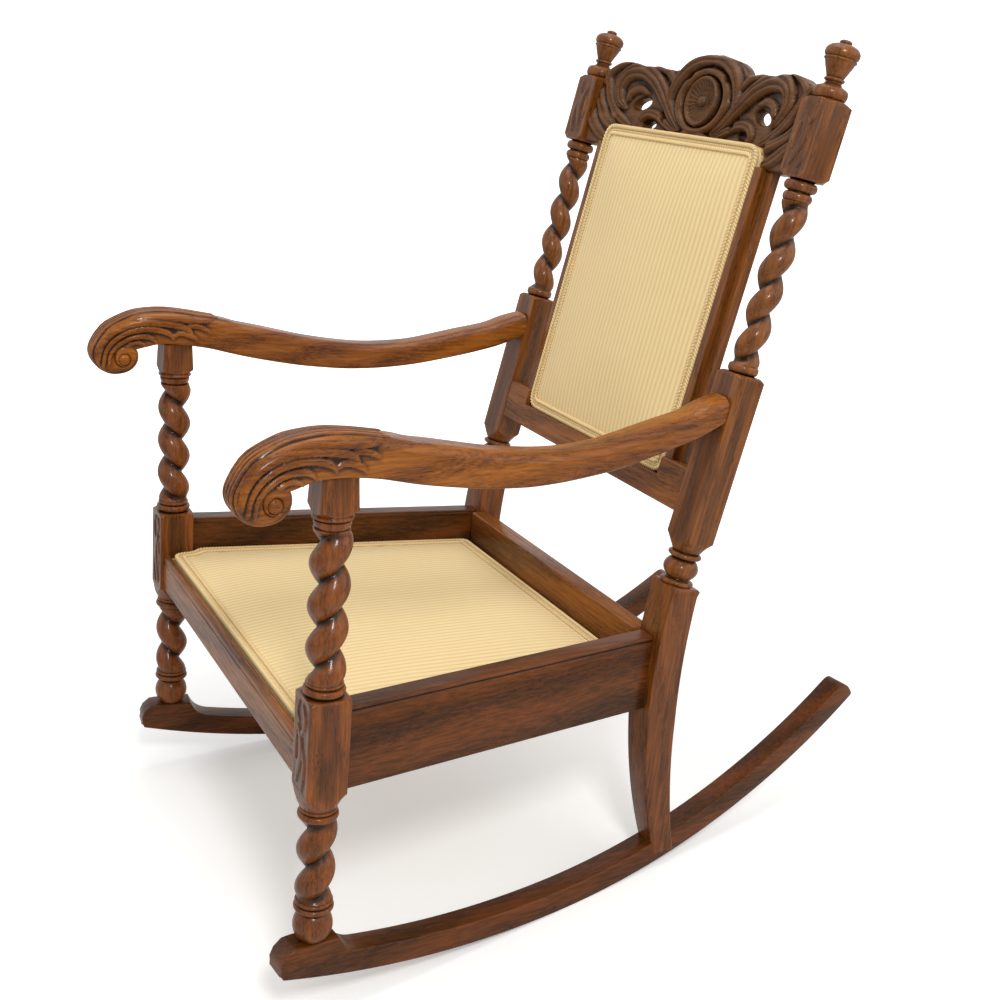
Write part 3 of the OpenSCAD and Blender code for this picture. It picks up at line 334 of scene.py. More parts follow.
def bar(
    name: str,
    low: Array,
    high: Array,
    across: Array,
    width: Array | float,
    edge: float = 2.0,
    frame_of: Callable[[Array], Array] | None = None,
) -> Piece:
    """A board or rail with eased edges, drawn section by section.

    Args:
        name: the piece's name.
        low: stations by 3, the middle of each section's lower edge.
        high: stations by 3, the middle of each section's upper edge.
        across: unit vector across the piece, one or one for each station.
        width: width, one or one for each station.
        edge: radius of the eased edges.
        frame_of: turns the points into the chair's frame, or None if they are in it.

    Returns:
        The new object.
    """
    low, high = np.asarray(low, float), np.asarray(high, float)
    n = len(low)
    across = np.broadcast_to(np.asarray(across, float), (n, 3))
    width = np.broadcast_to(np.asarray(width, float), (n,))
    rings = []
    order = [(0, 1), (0, 0)] + [(i, 0) for i in range(1, n - 1)] + [(n - 1, 0), (n - 1, 1)]
    for i, inset in order:
        up = high[i] - low[i]
        h = float(np.linalg.norm(up))
        up = up / h
        sec = rounded_section(width[i], h, edge)
        if inset:
            sec = sec * [(width[i] - 2 * edge) / width[i], (h - 2 * edge) / h] + [0, edge]
        ring = low[i] + sec[:, :1] * across[i] + sec[:, 1:] * up
        if not inset and i in (0, n - 1):
            j = 1 if i == 0 else n - 2
            step = (low[j] + high[j]) / 2 - (low[i] + high[i]) / 2
            ring = ring + step / np.linalg.norm(step) * edge
        rings.append(ring)
    pts = np.array(rings)
    if frame_of is not None:
        pts = frame_of(pts)
    return ring_piece(name, pts, sharp_deg=BOARD_SHARP_DEG)


def mirrored(points: Array, side: Side) -> Array:
    """The points as they are on the left, mirrored for the right."""
    return points * np.array([side.value, 1.0, 1.0])


# Finishes


def linear(hex_colour: str) -> tuple[float, float, float, float]:
    """Turns an sRGB hex colour into linear values.

    Args:
        hex_colour: six hex digits.

    Returns:
        Linear red, green, blue and alpha 1.
    """
    out = []
    for i in (0, 2, 4):
        c = int(hex_colour[i : i + 2], 16) / 255
        out.append(c / 12.92 if c <= 0.04045 else ((c + 0.055) / 1.055) ** 2.4)
    return (out[0], out[1], out[2], 1.0)


def node(
    tree: Tree,
    kind: str,
    settings: dict[str, object] | None = None,
    links: dict[str | int, object] | None = None,
) -> bpy.types.Node:
    """Adds a node with its settings and links.

    Args:
        tree: the node tree.
        kind: the node's type.
        settings: attributes of the node.
        links: for each input, an output socket to link or a value to set.

    Returns:
        The node.
    """
    n = tree.nodes.new(kind)
    for key, value in (settings or {}).items():
        setattr(n, key, value)
    for key, value in (links or {}).items():
        socket = n.inputs[key]
        if isinstance(value, Socket):
            tree.links.new(value, socket)
        else:
            socket.default_value = value
    return n


def ramp(tree: Tree, fac: Socket, stops: Sequence[tuple[float, str]]) -> Socket:
    """A colour ramp.

    Args:
        tree: the node tree.
        fac: what places a point on the ramp.
        stops: each stop's place and its sRGB hex colour.

    Returns:
        The colour.
    """
    n = node(tree, "ShaderNodeValToRGB", links={"Fac": fac})
    while len(n.color_ramp.elements) < len(stops):
        n.color_ramp.elements.new(0.5)
    for element, (place, colour) in zip(n.color_ramp.elements, stops):
        element.position = place
        element.color = linear(colour)
    return n.outputs[0]


def blank_material(name: str) -> tuple[Material, Tree]:
    """A new material with an empty node tree.

    Args:
        name: the material's name.

    Returns:
        The material and its tree.
    """
    mat = bpy.data.materials.new(name)
    mat.use_nodes = True
    mat.node_tree.nodes.clear()
    return mat, mat.node_tree


def noise(
    tree: Tree, vector: Socket, scale: float, detail: float, roughness: float = 0.5, output: str = "Fac"
) -> Socket:
    """The "Fac" or "Color" of a noise with that many spots to a metre."""
    return node(
        tree, "ShaderNodeTexNoise",
        links={"Vector": vector, "Scale": scale, "Detail": detail, "Roughness": roughness},
    ).outputs[output]


def bands(
    tree: Tree, vector: Socket, direction: str, period_mm: float, more: dict[str, float] | None = None
) -> Socket:
    """Soft bands from 0 to 1, one every so many millimetres, with more inputs of the Wave node."""
    scale = 2 * math.pi / (20 * period_mm * MM)
    return node(
        tree, "ShaderNodeTexWave",
        {"wave_type": "BANDS", "bands_direction": direction, "wave_profile": "SIN"},
        {"Vector": vector, "Scale": scale, **(more or {})},
    ).outputs["Fac"]


def stretched(tree: Tree, vector: Socket, scale: tuple[float, float, float]) -> Socket:
    """The space scaled on each axis."""
    return node(tree, "ShaderNodeMapping", links={"Vector": vector, "Scale": scale}).outputs[0]


def wandered(tree: Tree, vector: Socket, scale: float, reach: tuple[float, float, float]) -> Socket:
    """The space pushed about by a slow noise, by up to that reach in metres on each axis."""
    bend = noise(tree, vector, scale, 2.0, output="Color")
    return node(
        tree, "ShaderNodeVectorMath", {"operation": "MULTIPLY_ADD"}, {0: bend, 1: reach, 2: vector}
    ).outputs[0]


def maths(tree: Tree, operation: str, *values: Socket | float) -> Socket:
    """The result of a Math node on sockets or numbers."""
    return node(tree, "ShaderNodeMath", {"operation": operation}, dict(enumerate(values))).outputs[0]


def remap(
    tree: Tree, value: Socket, given: tuple[float, float], wanted: tuple[float, float] = (0.0, 1.0)
) -> Socket:
    """Maps the range given onto the range wanted, clamped at its ends."""
    ends = {"From Min": given[0], "From Max": given[1], "To Min": wanted[0], "To Max": wanted[1]}
    return node(tree, "ShaderNodeMapRange", links={"Value": value, **ends}).outputs[0]


def mixed(tree: Tree, share: Socket, first: Socket, second: tuple[float, float, float, float]) -> Socket:
    """The first colour with that share of the second."""
    return node(
        tree, "ShaderNodeMix", {"data_type": "RGBA"}, {"Factor": share, 6: first, 7: second}
    ).outputs[2]


def hollows(tree: Tree) -> Socket:
    """How deep in a groove a point of the piece lies, from 0 to 1."""
    return node(tree, "ShaderNodeAttribute", {"attribute_name": "hollow"}).outputs["Fac"]


def finish_surface(tree: Tree, inputs: dict[str, object]) -> None:
    """Ends a material's tree with a surface of those inputs."""
    body = node(tree, "ShaderNodeBsdfPrincipled", links=inputs)
    node(tree, "ShaderNodeOutputMaterial", links={"Surface": body.outputs[0]})


@dataclass(frozen=True)
class Oak:
    """Old brown oak under thin shellac: fibre streaks, short dark pores, faint figure, dirt and painted shade in
    the hollows.

    The eye gets a dark yellow-brown with fine dashes along the grain and small crisp highlights.
    """

    name: str
    grain: Grain
    light: str = "8c4c1c"
    mid: str = "6a3912"
    dark: str = "46230b"
    # Near-black of the pores, and of the dirt plus painted shade in the hollows
    grime_and_shade: str = "140904"
    streak_mm: float = 3.4
    pore_mm: float = 1.0
    figure_mm: float = 15.0
    figure_share: float = 0.12
    patch_share: float = 0.45
    contrast: float = 0.75
    roughness: float = 0.3
    gloss: float = 0.22
    shine: float = 0.15
    coat_roughness: float = 0.09
    # How far the grain wanders, and how long streaks, pores and figure are drawn out along it
    wander: float = 0.018
    streak_draw: float = 0.045
    pore_draw: float = 0.085
    figure_draw: float = 0.2
    tone_middle: float = 0.73
    tone_reach: float = 0.23
    pore_depth: float = 0.0003

    def space(self, tree: Tree) -> Socket:
        """Object space turned along the grain, which wanders a little.

        Args:
            tree: the node tree.

        Returns:
            The space.
        """
        coord = node(tree, "ShaderNodeTexCoord").outputs["Object"]
        turn = tuple(-math.radians(a) for a in self.grain.value)
        links = {"Vector": coord, "Rotation": turn}
        along = node(tree, "ShaderNodeMapping", {"vector_type": "TEXTURE"}, links).outputs[0]
        return wandered(tree, along, 7.0, (self.wander, self.wander, 0.0))

    def wood(self, tree: Tree, streaks: Socket, figure: Socket, patches: Socket) -> Socket:
        """The wood's colour before pores and dirt.

        Args:
            tree: the node tree.
            streaks: the fibre streaks.
            figure: the broad figure.
            patches: slow light and dark patches.

        Returns:
            The colour.
        """
        tone = maths(tree, "MULTIPLY_ADD", figure, -self.figure_share, streaks)
        tone = maths(tree, "MULTIPLY_ADD", patches, self.patch_share, tone)
        middle = self.tone_middle - self.figure_share / 2
        reach = self.tone_reach / self.contrast
        place = remap(tree, tone, (middle - reach, middle + reach))
        return ramp(tree, place, [(0, self.dark), (0.45, self.mid), (1, self.light)])

    def make(self) -> Material:
        """Builds the material."""
        mat, tree = blank_material(self.name)
        bent = self.space(tree)
        slow = stretched(tree, bent, (1.0, 1.0, self.figure_draw))
        fibres = stretched(tree, bent, (1.0, 1.0, self.streak_draw))
        dashes = stretched(tree, bent, (1.0, 1.0, self.pore_draw))
        streaks = noise(tree, fibres, 1000 / self.streak_mm, 3.0, 0.6)
        pores = noise(tree, dashes, 1000 / self.pore_mm, 1.0)
        figure = bands(
            tree, slow, "DIAGONAL", self.figure_mm, {"Distortion": 3.0, "Detail": 2.0, "Detail Scale": 1.2}
        )
        patches = noise(tree, slow, 16.0, 2.0)
        lines = remap(tree, pores, (0.56, 0.66))
        pored = maths(tree, "MULTIPLY", lines, remap(tree, figure, (0.2, 0.7), (0.15, 0.6)))
        colour = mixed(tree, pored, self.wood(tree, streaks, figure, patches), linear(self.grime_and_shade))
        # Mixed towards the near-black colour in the hollows: real dirt plus painted shade in the grooves and
        # carving
        colour = mixed(tree, remap(tree, hollows(tree), (0.05, 0.9), (0, 0.92)), colour, linear(self.grime_and_shade))
        rough = remap(tree, streaks, (0.3, 0.7), (self.roughness + 0.1, self.roughness - 0.04))
        links = {"Height": pored, "Strength": 0.3, "Distance": self.pore_depth}
        dent = node(tree, "ShaderNodeBump", {"invert": True}, links)
        finish_surface(tree, {
            "Base Color": colour, "Roughness": rough, "Normal": dent.outputs[0],
            "Specular IOR Level": self.shine, "Coat Weight": self.gloss, "Coat Roughness": self.coat_roughness,
        })
        return mat


@dataclass(frozen=True)
class RibbedCloth:
    """Ribbed cotton upholstery cloth: soft round ribs that run up the back and along the seat, with a fine weave.

    The eye gets pale gold ribs with thin darker valleys, dull and slightly fuzzy.
    """

    name: str
    ridge: str = "e6cd98"
    valley: str = "bd9c66"
    shade: str = "6e5230"
    rib_mm: float = 8.6
    thread_mm: float = 0.9
    # Shares of the tone: the ribs, the ground under them, the fuzz and the slow stains
    rib_share: float = 0.34
    ground: float = 0.36
    fuzz_share: float = 0.45
    stain_share: float = 0.2
    rib_power: float = 0.55
    wander: float = 0.003
    thread_share: float = 0.12
    relief: float = 0.0009

    def make(self) -> Material:
        """Builds the material."""
        mat, tree = blank_material(self.name)
        coord = node(tree, "ShaderNodeTexCoord").outputs["Object"]
        ribs = bands(tree, wandered(tree, coord, 14.0, (self.wander, 0.0, 0.0)), "X", self.rib_mm)
        threads = bands(tree, coord, "DIAGONAL", self.thread_mm, {"Distortion": 0.8})
        fuzz = noise(tree, coord, 900.0, 3.0, 0.7)
        stain = noise(tree, coord, 7.0, 4.0)
        raised = maths(tree, "POWER", ribs, self.rib_power)
        tone = maths(tree, "MULTIPLY_ADD", raised, self.rib_share, self.ground)
        woven = maths(tree, "MULTIPLY_ADD", fuzz, self.fuzz_share, tone)
        stained = maths(tree, "MULTIPLY_ADD", stain, self.stain_share, woven)
        colour = ramp(tree, stained, [(0.35, self.valley), (1, self.ridge)])
        height = maths(tree, "MULTIPLY_ADD", threads, self.thread_share, woven)
        dent = node(tree, "ShaderNodeBump", links={"Height": height, "Strength": 0.6, "Distance": self.relief})
        # Mixed towards the shade colour by the hollow attribute: painted shade along the braid and at the pad's
        # seam
        finish_surface(tree, {
            "Base Color": mixed(tree, hollows(tree), colour, linear(self.shade)), "Roughness": 0.92,
            "Normal": dent.outputs[0], "Sheen Weight": 0.15, "Sheen Roughness": 0.5, "Specular IOR Level": 0.25,
        })
        return mat


@dataclass(frozen=True)
class Plain:
    """A simple finish with a fine speckle: bare beech, woven jute or plain steel.

    The eye gets a nearly even colour with a little grain or weave.
    """

    name: str
    colour: str
    second: str
    speckle_mm: float
    roughness: float
    metallic: float = 0.0
    stretch: tuple[float, float, float] = (1.0, 1.0, 1.0)
    relief: float = 0.0004

    def make(self) -> Material:
        """Builds the material."""
        mat, tree = blank_material(self.name)
        coord = node(tree, "ShaderNodeTexCoord").outputs["Object"]
        speckle = noise(tree, stretched(tree, coord, self.stretch), 1000 / self.speckle_mm, 3.0)
        dent = node(tree, "ShaderNodeBump", links={"Height": speckle, "Strength": 0.2, "Distance": self.relief})
        finish_surface(tree, {
            "Base Color": ramp(tree, speckle, [(0.35, self.colour), (0.65, self.second)]),
            "Roughness": self.roughness, "Metallic": self.metallic, "Normal": dent.outputs[0],
        })
        return mat


Finish = Oak | RibbedCloth | Plain


@dataclass
class Workshop:
    """Keeps the finishes and dresses pieces with them."""

    made: dict[str, Material] = field(default_factory=dict)

    def material(self, finish: Finish) -> Material:
        """The finish's material, built once."""
        if finish.name not in self.made:
            self.made[finish.name] = finish.make()
        return self.made[finish.name]

    def dress(
        self,
        obj: Piece,
        finish: Finish,
        body: str,
        stands_for: Sequence[str] = (),
    ) -> Piece:
        """Gives a piece its finish and body, and hides the nodes that it stands for.

        Args:
            obj: the piece.
            finish: its finish.
            body: the body that it rides on.
            stands_for: the CAD nodes that it replaces.

        Returns:
            The piece.
        """
        obj.data.materials.clear()
        obj.data.materials.append(self.material(finish))
        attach(obj, body)
        if stands_for:
            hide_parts(*stands_for)
        log.info("%s: %d faces, on %s", obj.name, len(obj.data.polygons), body)
        return obj


OAK_UPRIGHT = Oak("shellacked_oak_upright", Grain.UPRIGHT)
OAK_RAKED = Oak(
    "shellacked_oak_raked", Grain.RAKED, light="8c5220", mid="6a3c15", dark="47260d", contrast=0.65
)
OAK_ALONG = Oak(
    "shellacked_oak_fore_and_aft", Grain.FORE_AND_AFT, light="6f3916", mid="4e2a0d", dark="331a08",
    figure_mm=34.0, figure_share=0.26, gloss=0.08,
)
OAK_ACROSS = Oak(
    "shellacked_oak_across", Grain.ACROSS, light="955923", mid="714219", dark="4a2810",
    figure_mm=34.0, figure_share=0.22, gloss=0.08,
)
OAK_ARM = Oak(
    "handled_oak_arms", Grain.FORE_AND_AFT, light="9a5a18", mid="76400f", dark="4c270b",
    figure_mm=22.0, figure_share=0.2, roughness=0.28, gloss=0.15,
)
OAK_CARVED = Oak(
    "carved_oak", Grain.ACROSS, light="714826", mid="5b3819", dark="442a12",
    contrast=0.5, roughness=0.36, gloss=0.06,
)
RIBBED = RibbedCloth("ribbed_gold_cloth")
BRAID = RibbedCloth("woven_braid", ridge="e6cc96", valley="b7955f", rib_share=0.0, ground=0.55)
BEECH = Plain("bare_beech", "c9a36b", "b98f58", 1.2, 0.55, stretch=(1.0, 0.2, 1.0))
JUTE = Plain("woven_jute", "a98a58", "8c6f42", 1.5, 0.9)
STEEL = Plain("plain_steel", "8d8f92", "77797c", 0.8, 0.35, metallic=1.0)


# Carving


# What a relief grid holds where no stroke lies
NO_RELIEF = -99.0


def stroke_field(
    x: Array, s: Array, path: Sequence[Sequence[float]], flutes: int = 1, flute_depth: float = 0.0
) -> tuple[Array, Array]:
    """The height of one carved leaf stroke over a grid.

    Args:
        x: grid of X, in millimetres.
        s: grid of heights up the back.
        path: control points, each X, height, half width and relief.
        flutes: how many flutes run along the stroke.
        flute_depth: how deep they are.

    Returns:
        The relief and a mask of where the stroke is.
    """
    c = smooth_curve(path, 8)
    best = np.full(x.shape, 1e9)
    across = np.zeros_like(x)
    height = np.zeros_like(x)
    for a, b in zip(c[:-1], c[1:]):
        d = b[:2] - a[:2]
        length = max(float(np.hypot(*d)), 1e-6)
        u = d / length
        t = np.clip(((x - a[0]) * u[0] + (s - a[1]) * u[1]) / length, 0, 1)
        px, ps = a[0] + d[0] * t, a[1] + d[1] * t
        w = a[2] + (b[2] - a[2]) * t
        dist = np.hypot(x - px, s - ps) / w
        sign = np.sign((x - px) * -u[1] + (s - ps) * u[0])
        nearer = dist < best
        best = np.where(nearer, dist, best)
        across = np.where(nearer, dist * sign, across)
        height = np.where(nearer, a[3] + (b[3] - a[3]) * t, height)
    inside = best < 1
    shape = np.sqrt(np.clip(1 - best**2, 0, 1)) ** 0.7
    groove = np.abs(np.cos(math.pi * (across * flutes + flutes) / 2)) ** 3 if flutes > 1 else 0.0
    relief = height * shape - flute_depth * groove * smoothstep(1 - best, 0.0, 0.25)
    return np.where(inside, relief, NO_RELIEF), inside


# Turned posts

# Points in each ring of a turned post
ROUND = 112


@dataclass(frozen=True)
class Turning:
    """A stretch of round turning: heights and radii, joined smoothly or straight."""

    points: tuple[tuple[float, float], ...]
    step: float = 0.7

    @property
    def span(self) -> tuple[float, float]:
        """Where it starts and ends."""
        return self.points[0][0], self.points[-1][0]

    def heights(self) -> Array:
        """Heights at which rings are drawn."""
        z0, z1 = self.span
        return np.linspace(z0, z1, max(2, int((z1 - z0) / self.step)))

    def radius(self, z: float, phi: Array) -> Array:
        """The radius at each angle at that height."""
        zs, rs = zip(*self.points)
        return np.full_like(phi, np.interp(z, zs, rs))


def bead(z0: float, z1: float, neck: float, full: float, n: int = 9) -> tuple[tuple[float, float], ...]:
    """A half-round bead.

    Args:
        z0: its lower end.
        z1: its upper end.
        neck: radius at its ends.
        full: radius at its middle.
        n: how many steps it is drawn in.

    Returns:
        Heights and radii.
    """
    turns = [math.pi * i / n for i in range(n + 1)]
    return tuple(
        (z0 + (z1 - z0) * (1 - math.cos(a)) / 2, neck + (full - neck) * math.sin(a) ** 0.8) for a in turns
    )


@dataclass(frozen=True)
class Twist:
    """A single twist: one fat round strand that winds up the post, with one deep narrow groove."""

    z0: float
    z1: float
    full: float
    pitch: float
    phase_deg: float
    core_share: float = 0.47
    ease: float = 9.0
    step: float = 1.5
    # At its ends the groove runs out: the core's share there, what the strand loses, and how far past it goes
    end_core: float = 0.83
    end_loss: float = 0.1
    past: float = 2.0
    fullness: float = 0.92

    def heights(self) -> Array:
        """Heights at which rings are drawn."""
        return np.linspace(self.z0, self.z1, int((self.z1 - self.z0) / self.step))

    def radius(self, z: float, phi: Array) -> Array:
        """The strand's outline round the post.

        Args:
            z: the height.
            phi: the angles.

        Returns:
            The radius at each angle.
        """
        turn = math.radians(self.phase_deg) + 2 * math.pi * (z - self.z0) / self.pitch
        strand = np.abs(np.cos((phi - turn) / 2))
        begun = smoothstep(z, self.z0 - self.past, self.z0 + self.ease)
        ended = smoothstep(z, self.z1 - self.ease, self.z1 + self.past)
        ends = float(begun * (1 - ended))
        core = self.full * (self.core_share + (1 - ends) * (self.end_core - self.core_share))
        top = self.full * (1 - self.end_loss * (1 - ends))
        return core + (top - core) * np.power(strand, self.fullness)


Strand = tuple[tuple[float, float, float, float], ...]


@dataclass(frozen=True)
class Block:
    """A square or oblong block whose corners are turned away at the ends."""

    z0: float
    z1: float
    width: float
    depth: float
    low: float
    high: float
    low_r: float
    high_r: float
    taper: float = 0.0
    carving: tuple[Strand, ...] = ()
    # The carving's ground and share of its drawn relief, the plain margin round it and how it runs out
    ground: float = -0.5
    relief_share: float = 0.75
    margin: float = 4.0
    run_out: float = 2.0
    carved_step: float = 1.4
    squareness: float = 34.0

    def heights(self) -> Array:
        """Heights at which rings are drawn, close together where the front is carved."""
        low, high = self.z0 + self.low, self.z1 - self.high
        run = self.z1 - self.high - self.z0 - self.low
        middle = np.linspace(low, high, int(run / self.carved_step) if self.carving else 6)[1:-1]
        return np.concatenate([np.linspace(self.z0, low, 16), middle, np.linspace(high, self.z1, 8)])

    def carved(self, u: Array, z: Array) -> Array:
        """The carving on the front face.

        Args:
            u: places across the face.
            z: heights.

        Returns:
            The carving's height at each, in millimetres.
        """
        h = np.full(u.shape, self.ground)
        for strand in self.carving:
            h = np.maximum(h, self.relief_share * stroke_field(u, z, strand)[0])
        upright = np.minimum(z - self.z0 - self.low, self.z1 - self.high - self.run_out - z)
        edge = np.minimum(self.width / 2 - self.margin - np.abs(u), upright)
        return h * smoothstep(edge, 0.0, self.run_out)

    def radius(self, z: float, phi: Array) -> Array:
        """The block's outline, square in the middle and turned round at its ends.

        Args:
            z: the height.
            phi: the angles.

        Returns:
            The radius at each angle.
        """
        scale = 1 - self.taper * (z - self.z0) / (self.z1 - self.z0)
        a, b = self.width / 2 * scale, self.depth / 2 * scale
        p = self.squareness
        square = (np.abs(np.cos(phi) / a) ** p + np.abs(np.sin(phi) / b) ** p) ** (-1 / p)
        corner = math.hypot(a, b) + 1
        t0 = np.clip((z - self.z0) / max(self.low, 0.01), 0, 1)
        t1 = np.clip((self.z1 - z) / max(self.high, 0.01), 0, 1)
        curve = 1 - math.sqrt(max(0, 1 - t0**2)) * 0.35 - 0.65 * (1 - t0)
        cove = self.low_r + (corner - self.low_r) * curve
        round_low = min(corner, cove)
        round_high = self.high_r + (corner - self.high_r) * t1
        return np.minimum(square, min(round_low, round_high))


Stretch = Turning | Twist | Block


@dataclass
class Post:
    """A post made of stretches one above the other on a straight axis."""

    name: str
    stretches: list[Stretch]
    corner_deg: float = 45.0
    # How deep a groove must be for full dirt and painted shade
    grime_and_shade_depth: float = 3.2

    def angles(self) -> Array:
        """Angles round the post, with one at each corner of its blocks."""
        phi = np.linspace(0, 2 * math.pi, ROUND, endpoint=False)
        for c in (self.corner_deg, 180 - self.corner_deg, 180 + self.corner_deg, 360 - self.corner_deg):
            phi[np.argmin(np.abs(phi - math.radians(c)))] = math.radians(c)
        return phi

    def build(self, side: Side, place: Callable[[Array], Array]) -> Piece:
        """Builds the post.

        Args:
            side: which side of the chair it stands on.
            place: turns points about the post's axis into the chair's frame, on the left.

        Returns:
            The new object.
        """
        phi = self.angles()
        z = np.concatenate([s.heights() for s in self.stretches])
        r = np.array([s.radius(float(h), phi) for s in self.stretches for h in s.heights()])
        # Darkness in the turned grooves: dirt plus painted shade, deepest where a point lies furthest below its
        # blurred surroundings
        hollow = np.clip((soften(r, 6, 8, True) - r) / self.grime_and_shade_depth, 0, 1)
        x = r * np.cos(phi)
        y = r * np.sin(phi)
        zz = np.repeat(z[:, None], len(phi), 1)
        for s in self.stretches:
            if isinstance(s, Block) and s.carving:
                rows = (z >= s.z0) & (z <= s.z1)
                face = (np.abs(y[rows] + s.depth / 2) < 0.8) & (np.abs(x[rows]) < s.width / 2)
                h = np.where(face, s.carved(x[rows], zz[rows]), 0.0)
                y[rows] -= h
                # The carving's recesses get the same dirt plus painted shade
                hollow[rows] = np.maximum(hollow[rows], np.clip(-h * 0.8, 0, 1))
        pts = np.stack([x, y, zz], axis=-1)
        return ring_piece(self.name, mirrored(place(pts), side), hollow)


# Carved strands on the posts' blocks: place across, height, half width and relief
SEAT_LEAF: tuple[Strand, ...] = (
    ((-9, 272, 3, 1.5), (-4, 290, 5, 2), (2, 308, 6, 2.2), (0, 326, 5.5, 2.2),
     (-8.0, 340.0, 3.5, 1.8)),
    ((7, 268, 3, 1.4), (11, 284, 4, 1.8), (12, 300, 4, 1.8), (8, 316, 3, 1.4)),
    ((-13, 298, 2.5, 1.4), (-14, 314, 3.5, 1.8), (-11, 330, 3, 1.6)),
    ((3, 334, 3, 1.6), (9, 344, 4, 1.9), (10, 358, 3.5, 1.8), (4, 368, 2.5, 1.4)),
    ((-6, 346, 2.5, 1.4), (-12, 356, 3.5, 1.8), (-8, 368, 2.5, 1.4)),
)
CREST_LEAF: tuple[Strand, ...] = (
    ((-10, 482, 3, 1.5), (-4, 496, 5, 2.1), (1, 512, 6, 2.3), (-2, 528, 5, 2.2),
     (-9.0, 540.0, 3.0, 1.7)),
    ((6, 480, 3, 1.4), (11, 494, 4, 1.9), (12, 510, 4, 1.9), (7, 524, 3, 1.5)),
    ((4, 530, 3, 1.6), (10, 538, 3.5, 1.8), (9, 549, 3, 1.5)),
    ((-14, 500, 2.5, 1.4), (-14, 514, 3.5, 1.8), (-12, 528, 2.5, 1.5)),
)


def front_post(side: Side) -> Post:
    """The front post: ball foot, two twists, seat block and the block under the arm.

    Args:
        side: which side of the chair.

    Returns:
        The post.
    """
    ball = tuple(
        (71.0 + 37.8 * t, 23.0 * math.sqrt(1 - (1.6 * (t - 0.5)) ** 2)) for t in np.linspace(0.0, 1.0, 17)
    )
    foot = ((71, 0.5),) + ball + ((109.6, 14.6), (110.2, 17.6)) + bead(110.5, 118.3, 18, 23.2)
    return Post(
        f"front_post_{side.word}_turned",
        [
            Turning(foot + ((118.7, 19),) + bead(119, 124, 19, 21.8)),
            Twist(124.0, 228.0, 22.5, 49.5, 148.0),
            Turning(bead(228, 236.6, 19, 23.2) + bead(237.2, 242, 19, 21.2)),
            Block(242.0, 377.0, 48.0, 48.0, 22.0, 4.0, 20.5, 28.5, carving=SEAT_LEAF),
            Turning(((377.2, 20), (378, 18.6)) + bead(378.4, 387.6, 18.6, 23.5)
                    + bead(388.2, 393.0, 18.0, 21.0)),
            Twist(393.0, 565.5, 22.5, 47.9, -30.0),
            Turning(((565.5, 17), (567.5, 18.6), (571, 20), (574.6, 20.2), (575.4, 18.2), (576, 17.6))
                    + bead(576.4, 581, 18.8, 22.6, 7) + ((581.5, 20.5),)),
            Block(581.5, 623.4, 43.0, 43.0, 7.0, 0.4, 21.0, 34.0, taper=0.09),
        ],
    )


def rear_post(side: Side) -> Post:
    """The upper rear post: turned ball, square, ring, twist, rings and the crest block.

    Args:
        side: which side of the chair.

    Returns:
        The post.
    """
    ball = tuple(
        (-37.4 + 26.6 * t, 13.5 + 8.8 * math.sin(math.pi * t) ** 0.75) for t in np.linspace(0.02, 0.98, 13)
    )
    return Post(
        f"rear_post_{side.word}_turned",
        [
            Turning(((-46, 0.5), (-45.8, 16)) + bead(-45.6, -38.4, 16, 21.4) + ball
                    + bead(-10.4, -2.4, 14.4, 21.4)),
            Block(-2.0, 228.0, 48.0, 39.0, 18.0, 5.0, 17.5, 24.0),
            Turning(((228.2, 17), (228.8, 15.6)) + bead(229, 240, 15.6, 19)),
            Twist(240.0, 440.0, 18.5, 46.5, 70.0, ease=7.0),
            Turning(bead(440, 450.6, 14, 17.8) + ((451.4, 13.6),) + bead(452, 464.6, 14, 20.2)
                    + ((466.0, 17.0),)),
            Block(466.0, 560.0, 48.0, 39.0, 7.0, 5.0, 24.0, 22.0, carving=CREST_LEAF),
        ],
        corner_deg=39.1,
    )


def finial(side: Side) -> Post:
    """The acorn finial on a rear post: base roll, neck ring, tapered cup, line, bulb and button.

    Args:
        side: which side of the chair.

    Returns:
        The finial, as a post of one stretch.
    """
    pts = (
        ((559.8, 0.5), (560, 16)) + bead(560.4, 575, 16, 21)
        + ((575.6, 15.6), (577.2, 12), (579.4, 10), (581.2, 9.6)) + bead(581.6, 586, 9.8, 12.4)
        + ((586.6, 10.6), (589, 11.6), (594, 13.8), (599, 16), (603, 17.5), (604.4, 17.9))
        + bead(604.8, 608.2, 17.7, 19.8)
        + ((608.8, 18.8), (610.4, 20.3), (613.4, 21), (616.8, 20.6), (619.8, 18.8), (622.2, 15.6), (623.8, 11.6),
           (624.6, 8.2), (625, 6.8), (626, 7.6), (627.8, 7.2), (629.2, 4.8), (629.8, 0.4))
    )
    return Post(f"finial_{side.word}_turned", [Turning(pts)])


def on_front_axis(points: Array) -> Array:
    """Points about the left front post's axis, in the chair's frame."""
    return points + np.array([312.0, 0.0, 0.0])


def on_rear_axis(points: Array) -> Array:
    """Points about the left rear post's axis, in the chair's frame."""
    return RAKE.chair(points + np.array([256.0, 0.0, 0.0]))


# Curved boards


